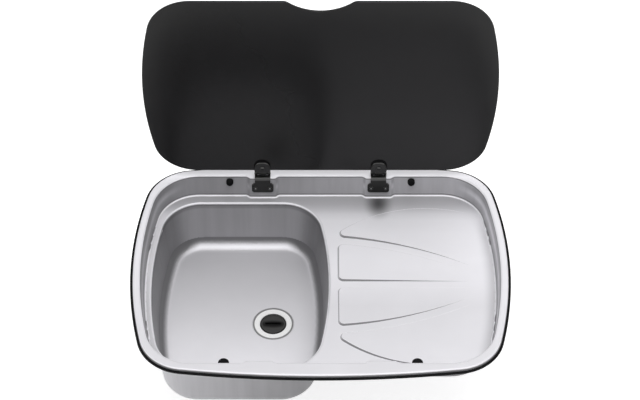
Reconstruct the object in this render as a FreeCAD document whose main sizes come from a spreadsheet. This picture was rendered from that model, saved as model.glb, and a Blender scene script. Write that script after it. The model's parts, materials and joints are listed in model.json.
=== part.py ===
import FreeCAD, Part
import math
import os
import Sketcher
from FreeCAD import Placement, Rotation, Vector

# A drop-in steel sink with drainer and a hinged glass lid.
# Millimetres. The origin is the centre of the worktop cut-out, on the worktop's top face.
# +Z is up, +Y runs from the user to the hinges, the bowl is on the -X side.

doc = FreeCAD.newDocument("SinkWithGlassLid")

DIMENSIONS = [
    # name, size, what it is
    ("sheet", 0.8, "thickness of the pressed steel sheet"),
    ("flange_width", 596, "rim outline, along X"),
    ("flange_depth", 445, "rim outline, along Y"),
    ("flange_side_radius", 662, "bulge of the left and right rim edges"),
    ("flange_end_radius", 1800, "bulge of the front and back rim edges"),
    ("flange_corner_radius", 74, "rim corners"),
    ("rim_top", 7, "top of the rim above the worktop"),
    ("rim_roll_radius", 4, "rolled outer edge of the rim"),
    ("rim_inner_radius", 3.2, "edge from the rim into the recess"),
    ("seal_thickness", 2, "seal between rim and worktop"),
    ("seal_lip_height", 2.4, "top of the lip outside the rim"),
    ("seal_lip", 3.7, "how far the lip stands outside the rim"),
    ("seal_land", 10, "width of the seal under the rim"),
    ("rim_side", 12.5, "rim from its outer edge to the recess, at the left and right"),
    ("rim_front", 26.5, "rim from its outer edge to the recess, at the front and back"),
    ("tray_side_radius", 650, "bulge of the recess sides"),
    ("tray_corner_radius", 73, "recess corners"),
    ("tray_floor", -34, "height of the recess floor"),
    ("tray_draft", 4.5, "how far the recess wall leans in over its height"),
    ("tray_fillet", 4, "bend between recess wall and floor"),
    ("pad_width", 41, "flat of a wall pad"),
    ("pad_slope", 5.5, "sloping side of a wall pad, along X"),
    ("pad_height", 4.5, "how far a wall pad stands out of the wall"),
    ("pad_corner", 6, "bends at the sides of a wall pad"),
    ("bowl_margin", 11.6, "recess floor to the left of the bowl"),
    ("bowl_width", 282, "bowl mouth, along X"),
    ("bowl_end_margin", 19, "recess floor in front of the bowl and behind it"),
    ("bowl_side_radius", 625, "bulge of the bowl sides"),
    ("bowl_corner_radius", 65, "bowl corners"),
    ("bowl_floor", -130, "height of the bowl floor"),
    ("bowl_side_draft", 9.5, "how far a bowl side leans in"),
    ("bowl_end_draft", 3.5, "how far the bowl front and back lean in"),
    ("bowl_edge_radius", 5, "edge from the recess floor into the bowl"),
    ("bowl_fillet", 20, "bend between bowl wall and floor"),
    ("fan_centre", -3, "centre line of the drainer panels, along Y"),
    ("fan_margin", 14.9, "recess floor between the bowl and the drainer panels"),
    ("fan_end", 35.5, "from where the panel outlines end, below the floor, to the rim"),
    ("fan_run_out", 10, "how far before that the panels have sunk into the floor"),
    ("fan_height", 2.7, "height of the panels at their left end"),
    ("fan_gap", 13.4, "channel along the centre line"),
    ("fan_channel", 14, "curved channel between two panels"),
    ("fan_foot", 0.15, "upright foot of the panels' sloping sides"),
    ("fan_arc_back", 47.5, "centre of the channel's curve, left of the panels' left end"),
    ("fan_arc_y", 470, "the same, across the centre line"),
    ("fan_arc_radius", 559, "outer edge of an inner panel"),
    ("fan_outer_ahead", 143.5, "centre of an outer panel's outer edge, right of the left end"),
    ("fan_side_gap", 31, "from that edge to the rim, at its nearest"),
    ("fan_outer_radius", 218, "outer edge of an outer panel"),
    ("fan_corner", 9.5, "corners of the panels"),
    ("waste_offset", 51.4, "outlet, to the right of the bowl's middle"),
    ("waste_forward", 4.4, "outlet, in front of the bowl's middle"),
    ("waste_seat_radius", 33.2, "shallow seat pressed into the bowl floor"),
    ("waste_seat_depth", 1.6, "depth of that seat"),
    ("waste_hole_radius", 23, "hole in the bowl floor"),
    ("waste_ring_radius", 32.5, "bright ring"),
    ("waste_ring_thickness", 1, "thickness of the ring"),
    ("waste_ring_bevel", 0.5, "bevels of the ring"),
    ("waste_seal_thickness", 0.6, "seal under the ring"),
    ("throat_radius", 21.6, "inside of the ring's throat"),
    ("throat_wall", 0.8, "wall of the throat"),
    ("throat_depth", 15, "from the ring's top to the end of the throat"),
    ("strainer_thickness", 1, "perforated disc in the throat"),
    ("strainer_hole_radius", 2.6, "holes of the disc"),
    ("strainer_inner_row", 9.4, "inner ring of six holes"),
    ("strainer_outer_row", 15.4, "outer ring of twelve holes"),
    ("strainer_play", 0.3, "gap round the disc"),
    ("throat_ledge", 4, "ledge that carries the disc"),
    ("waste_body_radius", 30, "flange of the waste body"),
    ("waste_cup_radius", 27, "outside of the waste cup"),
    ("waste_wall", 2.5, "wall of the waste body"),
    ("waste_cup_depth", 20, "depth of the waste cup"),
    ("lower_seal_thickness", 1.2, "seal between bowl and waste body"),
    ("spigot_radius", 12.5, "hose spigot"),
    ("spigot_bore", 10.3, "bore of the hose spigot"),
    ("spigot_length", 24, "length of the hose spigot"),
    ("waste_screw_radius", 3, "screw through the strainer"),
    ("waste_screw_head", 5.5, "radius of that screw's head"),
    ("waste_screw_head_height", 2.2, "height of that head"),
    ("waste_boss_radius", 5, "boss that takes the screw"),
    ("waste_web", 2, "thickness of the cross in the cup"),
    ("waste_gap", 0.5, "gap below the throat and beside the seals"),
    ("plug_clearance", 0.35, "gap round the plug"),
    ("plug_rim", 3.6, "width of the plug's rubber rim"),
    ("plug_height", 10.2, "height of the plug"),
    ("plug_step", 3.2, "step in the plug that stands on the ledge"),
    ("plug_edge", 0.9, "bevels of the plug"),
    ("plug_recess", 6, "depth of the hollow that holds the cap"),
    ("plug_cap_sunk", 0.8, "how far the cap lies below the rim"),
    ("plug_slot_length", 26, "grip slot"),
    ("plug_slot_width", 6.5, "grip slot"),
    ("plug_slot_depth", 4, "grip slot"),
    ("pivot_out", 4.3, "hinge pins, behind the edge of the recess"),
    ("knuckle_radius", 3.5, "hinge knuckles"),
    ("knuckle_lift", 0.4, "gap between knuckle and rim"),
    ("hinge_offset", 95, "hinges and wall pads, along X"),
    ("hinge_width", 25.4, "hinge strap"),
    ("knuckle_width", 11, "middle knuckle, on the arm"),
    ("ear_width", 3.2, "outer knuckles, on the base"),
    ("pin_radius", 1.5, "hinge pin"),
    ("pin_clearance", 0.05, "running fit of the arm on the pin"),
    ("rivet_head", 0.8, "height and overhang of the pin's riveted ends"),
    ("washer_wall", 1.4, "wall of a friction washer"),
    ("washer_gap", 0.1, "gap at both ends of a washer"),
    ("base_thickness", 2.2, "hinge base plate"),
    ("strap_bend", 2, "outside of the bend at the top of the base"),
    ("ear_root", 0.7, "how far the outer knuckles reach into the strap"),
    ("base_foot_width", 35.4, "foot of the hinge base"),
    ("base_foot_bottom", -21.3, "lower edge of the foot"),
    ("base_foot_top", -3.3, "upper edge of the foot"),
    ("base_foot_corner", 4.5, "corners of the foot"),
    ("base_screw_spacing", 23.4, "screws of a hinge base"),
    ("base_screw_radius", 1.9, "screw shank"),
    ("screw_play", 0.4, "screw holes are this much larger in radius"),
    ("screw_head_radius", 3.7, "screw head"),
    ("screw_head_height", 2, "screw head"),
    ("screw_point", 0.4, "bevel at the end of a screw"),
    ("screw_drive_depth", 1.1, "cross recess of a screw"),
    ("base_screw_spare", 5, "base screw beyond the wall"),
    ("nut_width", 7, "nut across its flats"),
    ("nut_height", 3, "nut"),
    ("lid_side_gap", 4.1, "from the edge of the recess to the closed glass, at the sides"),
    ("lid_thickness", 4, "glass"),
    ("lid_side_radius", 645, "bulge of the glass sides"),
    ("lid_corner_radius", 70, "corners of the glass"),
    ("lid_edge", 0.8, "ground edge of the glass"),
    ("lid_set_back", 13.8, "from the pivot to the glass, closed"),
    ("notch_radius", 80, "finger notch"),
    ("notch_depth", 20, "finger notch"),
    ("notch_blend", 14, "rounding at both ends of the notch"),
    ("outer_pad_thickness", 1.2, "rubber between arm and glass"),
    ("inner_pad_thickness", 1, "rubber between clamp and glass"),
    ("pad_rise", 4, "how far the inner pad reaches past the clamp"),
    ("pad_margin", 0.5, "how far it stands out at the sides of the clamp"),
    ("clamp_thickness", 2.5, "clamp plate"),
    ("clamp_lip", 1.2, "clamp edge wrapped round the glass"),
    ("clamp_edge", 1.2, "rounded edge of the clamp plate"),
    ("clamp_screw_grip", 2.6, "clamp screw in the arm's thread"),
    ("thread_cover", 0.7, "metal over the arm's blind thread"),
    ("clamp_screw_set_back", 21.5, "from the pivot to the clamp screw"),
    ("clamp_screw_radius", 2, "clamp screw"),
    ("clamp_screw_play", 0.2, "hole of the clamp plate is this much larger in radius"),
    ("glass_hole_radius", 3.4, "hole in the glass"),
    ("arm_plate", 2.5, "arm beside the knuckle"),
    ("arm_clearance", 2.5, "from the knuckle to the full width of the arm"),
    ("arm_edge", 0.8, "rounded edge of the arm"),
    ("arm_height", 1.3, "top of the arm above the pivot, closed"),
    ("heel_reach", 5.2, "heel that stops the open lid"),
    ("rest_gap", 0.3, "gap where a moving piece comes to rest"),
    ("bumper_offset", 149, "bumpers, along X"),
    ("button_radius", 5.9, "rear bumper"),
    ("button_stand_out", 9.9, "how far a rear bumper stands out past the edge of the recess"),
    ("button_dome", 5, "rounded edge of a rear bumper"),
    ("bumper_stand_out", 12.5, "how far a front bumper stands out past the edge of the recess"),
    ("bumper_thickness", 5.6, "front bumper"),
    ("bumper_width", 17, "front bumper"),
    ("bumper_stem_radius", 2.4, "stem through the wall"),
    ("bumper_barb", 1.4, "how far the barb stands out of the stem"),
    ("bumper_edge", 1.4, "rounded edge of a front bumper"),
    ("stem_play", 0.1, "holes for the stems are this much larger in radius"),
    ("stem_length", 4.6, "stem of a bumper behind the wall"),
    ("barb_thickness", 2.2, "barb of a bumper"),
    ("barb_gap", 0.8, "from the wall to the barb"),
]

sheet = doc.addObject("Spreadsheet::Sheet", "Dimensions")
for row, (name, size, note) in enumerate(DIMENSIONS, start=1):
    sheet.set(f"A{row}", name)
    sheet.set(f"B{row}", str(size))
    sheet.set(f"C{row}", note)
    sheet.setAlias(f"B{row}", name)
doc.recompute()

# Heights and places that follow from the sizes above, as expressions on the sheet.
D = "Dimensions."
PAST = "5"  # how far a cutting shape reaches past what it cuts
TRAY_WIDTH = f"({D}flange_width - 2 * {D}rim_side)"
TRAY_DEPTH = f"({D}flange_depth - 2 * {D}rim_front)"
BOWL_DEPTH = f"({TRAY_DEPTH} - 2 * {D}tray_draft - 2 * {D}bowl_end_margin)"
BOWL_CENTRE = f"({D}tray_draft + {D}bowl_margin + {D}bowl_width / 2 - {TRAY_WIDTH} / 2)"
WASTE_X = f"({BOWL_CENTRE} + {D}waste_offset)"
WASTE_Y = f"(-{D}waste_forward)"
FAN_LEFT = f"({BOWL_CENTRE} + {D}bowl_width / 2 + {D}fan_margin)"
FAN_RIGHT = f"({TRAY_WIDTH} / 2 - {D}fan_end)"
FAN_FADE = f"({FAN_RIGHT} - {D}fan_run_out)"
FAN_ARC_X = f"({FAN_LEFT} - {D}fan_arc_back)"
FAN_OUTER_X = f"({FAN_LEFT} + {D}fan_outer_ahead)"
FAN_OUTER_Y = f"({D}fan_outer_radius + {D}fan_side_gap - {TRAY_DEPTH} / 2)"
PIVOT_Y = f"({TRAY_DEPTH} / 2 + {D}pivot_out)"
LID_WIDTH = f"({TRAY_WIDTH} - 2 * {D}lid_side_gap)"
LID_DEPTH = f"(2 * ({PIVOT_Y} - {D}lid_set_back))"
BUMPER_REACH = f"({TRAY_DEPTH} / 2 - {D}bumper_stand_out)"
BUTTON_REACH = f"({TRAY_DEPTH} / 2 - {D}button_stand_out)"
PIVOT_Z = f"({D}rim_top + {D}knuckle_radius + {D}knuckle_lift)"
TRAY_HEIGHT = f"({D}rim_top - {D}tray_floor)"
WALL_LEAN = f"atan({D}tray_draft / {TRAY_HEIGHT})"
GLASS_TOP = f"({D}rim_top - {PIVOT_Z})"
GLASS_UNDER = f"({GLASS_TOP} - {D}lid_thickness)"
CLAMP_TOP = f"({GLASS_UNDER} - {D}inner_pad_thickness)"
CLAMP_UNDER = f"({CLAMP_TOP} - {D}clamp_thickness)"
SEAT_Z = f"({D}bowl_floor - {D}waste_seat_depth)"
RING_TOP = f"({SEAT_Z} + {D}waste_seal_thickness + {D}waste_ring_thickness)"
THROAT_END = f"({RING_TOP} - {D}throat_depth)"
STRAINER_TOP = f"({THROAT_END} + {D}throat_wall + {D}strainer_thickness)"
CUP_TOP = f"({SEAT_Z} - {D}sheet - {D}lower_seal_thickness)"
CUP_END = f"({CUP_TOP} - {D}waste_cup_depth)"
BUMPER_TOP = f"({D}rim_top - {D}lid_thickness - {D}rest_gap)"
BUMPER_MIDDLE = f"({BUMPER_TOP} - {D}bumper_thickness / 2)"
BUTTON_MIDDLE = f"({BUMPER_TOP} - {D}button_radius)"
SCREW_Z = f"(({D}base_foot_bottom + {D}base_foot_top) / 2)"


NEAR = 0.01  # how close an edge lies to where it is looked for


def number(expression):
    """The present value of an expression on the sheet."""
    return float(sheet.evalExpression(expression))


def wall_y(height, inset="0"):
    """Distance of the recess wall from the centre plane at a height, less an inset."""
    lean = f"{D}tray_draft * ({D}rim_top - ({height})) / {TRAY_HEIGHT}"
    return f"({TRAY_DEPTH} / 2 - {lean} - ({inset}))"


def origin_plane(body, role):
    for feature in body.Origin.OriginFeatures:
        if feature.Role == role:
            return feature
    raise ValueError(role)


def new_body(label):
    body = doc.addObject("PartDesign::Body", label)
    body.Label = label
    return body


def new_sketch(body, name, role="XY_Plane", offset=None):
    """A sketch on one of the body's origin planes, moved along its normal."""
    drawing = body.newObject("Sketcher::SketchObject", name)
    drawing.AttachmentSupport = [(origin_plane(body, role), "")]
    drawing.MapMode = "FlatFace"
    if offset is not None:
        drawing.setExpression("AttachmentOffset.Base.z", offset)
    return drawing


def constrain(drawing, kind, *places, size=None):
    """Adds a constraint, driven by an expression where it has a size."""
    if size is None:
        return drawing.addConstraint(Sketcher.Constraint(kind, *places))
    index = drawing.addConstraint(Sketcher.Constraint(kind, *places, number(size)))
    drawing.setExpression(f"Constraints[{index}]", size)
    return index


def add_circle(drawing, x, y, radius):
    centre = Vector(number(x), number(y), 0)
    index = drawing.addGeometry(Part.Circle(centre, Vector(0, 0, 1), number(radius)))
    constrain(drawing, "Radius", index, size=radius)
    constrain(drawing, "DistanceX", -1, 1, index, 3, size=x)
    constrain(drawing, "DistanceY", -1, 1, index, 3, size=y)
    return index


def add_polygon(drawing, corners):
    """A closed outline of straight lines, each corner held by its two distances."""
    points = [Vector(number(x), number(y), 0) for x, y in corners]
    count = len(points)
    first = drawing.GeometryCount
    for i in range(count):
        drawing.addGeometry(Part.LineSegment(points[i], points[(i + 1) % count]))
    for i in range(count):
        constrain(drawing, "Coincident", first + i, 2, first + (i + 1) % count, 1)
    for i, (x, y) in enumerate(corners):
        constrain(drawing, "DistanceX", -1, 1, first + i, 1, size=x)
        constrain(drawing, "DistanceY", -1, 1, first + i, 1, size=y)


def add_rectangle(drawing, left, right, low, high):
    add_polygon(drawing, [(left, low), (right, low), (right, high), (left, high)])


def arc(centre, radius, start, end):
    return Part.ArcOfCircle(Part.Circle(centre, Vector(0, 0, 1), radius), start, end)


def add_bulged_outline(drawing, width, depth, side, corner, x="0", y="0", end=None):
    """A rounded rectangle with bulging sides, and bulging ends too where end is given."""
    half_width, half_depth = number(width) / 2, number(depth) / 2
    side_radius, corner_radius = number(side), number(corner)
    middle = Vector(number(x), number(y), 0)
    side_centre = Vector(half_width - side_radius, 0, 0)
    reach = side_radius - corner_radius
    if end is None:
        corner_y = half_depth - corner_radius
        corner_x = side_centre.x + math.sqrt(reach**2 - corner_y**2)
        top = Vector(corner_x, half_depth, 0)
        turn = math.pi / 2
    else:
        end_radius = number(end)
        end_centre = Vector(0, half_depth - end_radius, 0)
        corner_x, corner_y = meeting_point(side_centre, reach, end_centre, end_radius - corner_radius)
        turn = math.atan2(corner_y - end_centre.y, corner_x)
    start = math.atan2(corner_y, corner_x - side_centre.x)
    edges = []
    for quarter in (0, 1):
        sign = 1 - 2 * quarter
        spin = math.pi * quarter
        edges.append(arc(middle + side_centre * sign, side_radius, spin - start, spin + start))
        near = Vector(corner_x, corner_y, 0) * sign
        far = Vector(-corner_x, corner_y, 0) * sign
        edges.append(arc(middle + near, corner_radius, spin + start, spin + turn))
        if end is None:
            across = Vector(-2 * corner_x * sign, 0, 0)
            edges.append(Part.LineSegment(middle + top * sign, middle + top * sign + across))
        else:
            swing = (spin + turn, spin + math.pi - turn)
            edges.append(arc(middle + end_centre * sign, end_radius, *swing))
        edges.append(arc(middle + far, corner_radius, spin + math.pi - turn, spin + math.pi - start))
    first = drawing.GeometryCount
    for edge in edges:
        drawing.addGeometry(edge)
    for i in range(8):
        constrain(drawing, "Tangent", first + i, 2, first + (i + 1) % 8, 1)
    for i, sign in ((0, "+"), (4, "-")):
        constrain(drawing, "Radius", first + i, size=side)
        constrain(drawing, "DistanceX", -1, 1, first + i, 3, size=f"{x} {sign} ({width} / 2 - ({side}))")
        constrain(drawing, "DistanceY", -1, 1, first + i, 3, size=y)
    for i in (1, 3, 5, 7):
        constrain(drawing, "Radius", first + i, size=corner)
    for i, sign in ((2, "+"), (6, "-")):
        if end is None:
            constrain(drawing, "Horizontal", first + i)
            constrain(drawing, "DistanceY", -1, 1, first + i, 1, size=f"{y} {sign} ({depth}) / 2")
        else:
            constrain(drawing, "Radius", first + i, size=end)
            constrain(drawing, "DistanceX", -1, 1, first + i, 3, size=x)
            middle_y = f"{y} {sign} (({depth}) / 2 - ({end}))"
            constrain(drawing, "DistanceY", -1, 1, first + i, 3, size=middle_y)


def meeting_point(a, reach_a, b, reach_b):
    """Where two circles meet on the right of the line from b to a."""
    apart = (b - a).Length
    along = (apart**2 + reach_a**2 - reach_b**2) / (2 * apart)
    away = math.sqrt(reach_a**2 - along**2)
    way = (b - a) / apart
    options = [a + way * along + Vector(-way.y, way.x, 0) * away * s for s in (1, -1)]
    best = max(options, key=lambda p: p.y)
    return best.x, best.y


def pad(body, name, drawing, length, midplane=False, reverse=False):
    feature = body.newObject("PartDesign::Pad", name)
    feature.Profile = drawing
    feature.setExpression("Length", length)
    if midplane:
        feature.SideType = "Symmetric"
    feature.Reversed = reverse
    return feature


def pocket(body, name, drawing, length=None, midplane=False, reverse=False):
    """A cut of a given depth, or right through where no depth is given."""
    feature = body.newObject("PartDesign::Pocket", name)
    feature.Profile = drawing
    if length is None:
        feature.Type = "ThroughAll"
    else:
        feature.setExpression("Length", length)
    if midplane:
        feature.SideType = "Symmetric"
    feature.Reversed = reverse
    return feature


def loft(body, name, drawings, cut=False):
    kind = "PartDesign::SubtractiveLoft" if cut else "PartDesign::AdditiveLoft"
    feature = body.newObject(kind, name)
    feature.Profile = drawings[0]
    feature.Sections = drawings[1:]
    feature.Ruled = True
    return feature


def revolve(body, name, drawing, cut=False):
    """Turns a sketch once about its own vertical axis."""
    feature = body.newObject("PartDesign::Groove" if cut else "PartDesign::Revolution", name)
    feature.Profile = drawing
    feature.ReferenceAxis = (drawing, ["V_Axis"])
    feature.Angle = 360
    return feature


def dress(body, kind, name, test, size):
    """A Fillet or Chamfer on every edge of the body's tip that passes the test."""
    doc.recompute()
    base = body.Tip
    names = [f"Edge{i}" for i, e in enumerate(base.Shape.Edges, start=1) if test(e)]
    if not names:
        raise ValueError(f"{name}: no edge found")
    feature = body.newObject(f"PartDesign::{kind}", name)
    feature.Base = (base, names)
    feature.setExpression("Radius" if kind == "Fillet" else "Size", size)
    return feature


def level(height, within=None):
    """A test for edges that lie at one height, inside a box of half sizes round a centre."""
    z = number(height)

    def test(edge):
        box = edge.BoundBox
        if abs(box.ZMin - z) > NEAR or abs(box.ZMax - z) > NEAR:
            return False
        if within is None:
            return True
        x, y, half_x, half_y = within
        reach_x = max(abs(box.XMin - x), abs(box.XMax - x))
        reach_y = max(abs(box.YMin - y), abs(box.YMax - y))
        return reach_x < half_x and reach_y < half_y

    return test


def place(feature, x="0", y="0", z="0", axis=None, angle="0"):
    """Puts a piece in its place, by expressions on the sheet."""
    if axis is not None:
        turn = number(angle)
        feature.Placement = Placement(Vector(0, 0, 0), Rotation(axis, turn if turn else 1))
        feature.setExpression("Placement.Rotation.Angle", angle)
    for letter, size in zip("xyz", (x, y, z)):
        feature.setExpression(f"Placement.Base.{letter}", size)
    return feature


def combine(kind, name, base, tool):
    feature = doc.addObject(f"Part::{kind}", name)
    feature.Base = base
    feature.Tool = tool
    return feature


def group(kind, name, members):
    feature = doc.addObject(f"Part::{kind}", name)
    if kind == "Compound":
        feature.Links = members
    else:
        feature.Shapes = members
    return feature


def cylinder(name, radius, height, x="0", y="0", z="0", axis=None, angle="0"):
    feature = doc.addObject("Part::Cylinder", name)
    feature.setExpression("Radius", radius)
    feature.setExpression("Height", height)
    return place(feature, x, y, z, axis, angle)


NODES = []


def node(feature, label):
    """Marks a finished piece, which gets a file of its own."""
    feature.Label = label
    NODES.append(feature)
    return feature


# The pressing. Two forms are built the same way: the space above the sheet, and the same space
# grown by the sheet's thickness. The sheet is what lies between them.


def pressing_form(name, skin):
    grown = f"2 * ({skin})"
    body = new_body(name)
    top = f"{D}rim_top - ({skin})"
    floor = f"{D}tray_floor - ({skin})"
    bottom = f"{D}bowl_floor - ({skin})"

    above = new_sketch(body, f"{name}_above", offset=top)
    half_x = f"({D}flange_width / 2 + {PAST})"
    half_y = f"({D}flange_depth / 2 + {PAST})"
    add_rectangle(above, f"-{half_x}", half_x, f"-{half_y}", half_y)
    pad(body, f"{name}_headroom", above, f"2 * {PAST}")

    tray = []
    for where, height, inset in (("top", top, "0"), ("bottom", floor, f"2 * {D}tray_draft")):
        drawing = new_sketch(body, f"{name}_tray_{where}", offset=height)
        add_bulged_outline(
            drawing,
            f"({TRAY_WIDTH} - {inset} + {grown})",
            f"({TRAY_DEPTH} - {inset} + {grown})",
            f"({D}tray_side_radius - {inset} / 2 + {skin})",
            f"({D}tray_corner_radius - {inset} / 2 + {skin})",
        )
        tray.append(drawing)
    loft(body, f"{name}_tray", tray)

    for side in ("", "-"):
        for end in ("", "-"):
            wall_pad(body, f"{name}_pad_{'r' if side else 'l'}{'f' if end else 'b'}", side, end, skin)

    x, half_pad = number(f"{D}hinge_offset"), number(f"{D}pad_width / 2 + {D}pad_slope") + 1
    half_tray = number(f"{TRAY_DEPTH} / 2")
    deep = number(f"{D}pad_height + {D}tray_draft") + 2

    def upright(edge):
        box = edge.BoundBox
        beside = abs(abs(box.Center.x) - x) < half_pad and half_tray - deep < abs(box.Center.y)
        return beside and box.ZLength > 10

    dress(body, "Fillet", f"{name}_pad_bends", upright, f"{D}pad_corner")

    bowl = []
    for where, height, side_in, end_in in (
        ("top", floor, "0", "0"),
        ("bottom", bottom, f"2 * {D}bowl_side_draft", f"2 * {D}bowl_end_draft"),
    ):
        drawing = new_sketch(body, f"{name}_bowl_{where}", offset=height)
        add_bulged_outline(
            drawing,
            f"({D}bowl_width - {side_in} + {grown})",
            f"({BOWL_DEPTH} - {end_in} + {grown})",
            f"({D}bowl_side_radius - {side_in} / 2 + {skin})",
            f"({D}bowl_corner_radius - {side_in} / 2 + {skin})",
            x=BOWL_CENTRE,
        )
        bowl.append(drawing)
    loft(body, f"{name}_bowl", bowl)

    tray_box = (0, 0, number(f"{TRAY_WIDTH} / 2") + 5, half_tray + 5)
    reach = number(f"{D}bowl_width / 2") + 3
    bowl_box = (number(BOWL_CENTRE), 0, reach, number(f"{BOWL_DEPTH} / 2") + 3)
    dress(body, "Fillet", f"{name}_bowl_floor", level(bottom), f"{D}bowl_fillet + ({skin})")
    dress(body, "Fillet", f"{name}_bowl_edge", level(floor, bowl_box), f"{D}bowl_edge_radius - ({skin})")
    outside = level(floor, tray_box)
    inside = level(floor, bowl_box)
    dress(
        body,
        "Fillet",
        f"{name}_tray_floor",
        lambda e: outside(e) and not inside(e) and e.BoundBox.DiagonalLength > 0.5,
        f"{D}tray_fillet + ({skin})",
    )
    dress(body, "Fillet", f"{name}_rim_edge", level(top, tray_box), f"{D}rim_inner_radius - ({skin})")

    seat = new_sketch(body, f"{name}_seat_outline", offset=bottom)
    add_circle(seat, WASTE_X, WASTE_Y, f"{D}waste_seat_radius + ({skin})")
    pad(body, f"{name}_seat", seat, f"{D}waste_seat_depth", reverse=True)
    doc.recompute()
    return body


def wall_pad(body, name, side, end, skin):
    """A flat pad that stands out of the recess wall, over the whole height of the wall."""
    drawings = []
    for where, height in (("top", f"{D}rim_top"), ("bottom", f"{D}tray_floor")):
        wall = wall_y(height)
        face = f"({wall} - {D}pad_height + ({skin}))"
        behind = f"({wall} + ({skin}) + 2 * {D}sheet)"
        slope = f"{D}pad_slope * (1 + 2 * {D}sheet / {D}pad_height)"
        half_face = f"({D}pad_width / 2 - ({skin}) / 2)"
        half_base = f"({half_face} + {slope})"
        middle = f"{side}{D}hinge_offset"
        drawing = new_sketch(body, f"{name}_{where}", offset=f"{height} - ({skin})")
        corners = [
            (f"{middle} - {half_base}", f"{end}{behind}"),
            (f"{middle} - {half_face}", f"{end}{face}"),
            (f"{middle} + {half_face}", f"{end}{face}"),
            (f"{middle} + {half_base}", f"{end}{behind}"),
        ]
        add_polygon(drawing, corners)
        drawings.append(drawing)
    loft(body, name, drawings, cut=True)


def rim_block(name, inset):
    """The rim with its rolled edge as a solid block, less an inset all round."""
    body = new_body(name)
    drawing = new_sketch(body, f"{name}_outline", offset=f"{D}seal_thickness - ({inset})")
    add_flange_outline(drawing, f"-({inset})")
    pad(body, f"{name}_block", drawing, f"{D}rim_top - {D}seal_thickness")
    roll = f"{D}rim_roll_radius - ({inset})"
    dress(body, "Fillet", f"{name}_roll", level(f"{D}rim_top - ({inset})"), roll)
    return body


def add_flange_outline(drawing, grown):
    """The rim's outline, moved outwards by a distance."""
    add_bulged_outline(
        drawing,
        f"({D}flange_width + 2 * ({grown}))",
        f"({D}flange_depth + 2 * ({grown}))",
        f"({D}flange_side_radius + ({grown}))",
        f"({D}flange_corner_radius + ({grown}))",
        end=f"({D}flange_end_radius + ({grown}))",
    )


def under_rim_block():
    """Everything inside the rolled edge, down past the bowl."""
    body = new_body("under_rim_block")
    drawing = new_sketch(body, "under_rim_outline", offset=f"{D}rim_top")
    add_flange_outline(drawing, f"-{D}rim_roll_radius")
    pad(body, "under_rim", drawing, f"{D}rim_top - {D}bowl_floor + 2 * {PAST}", reverse=True)
    return body


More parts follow.
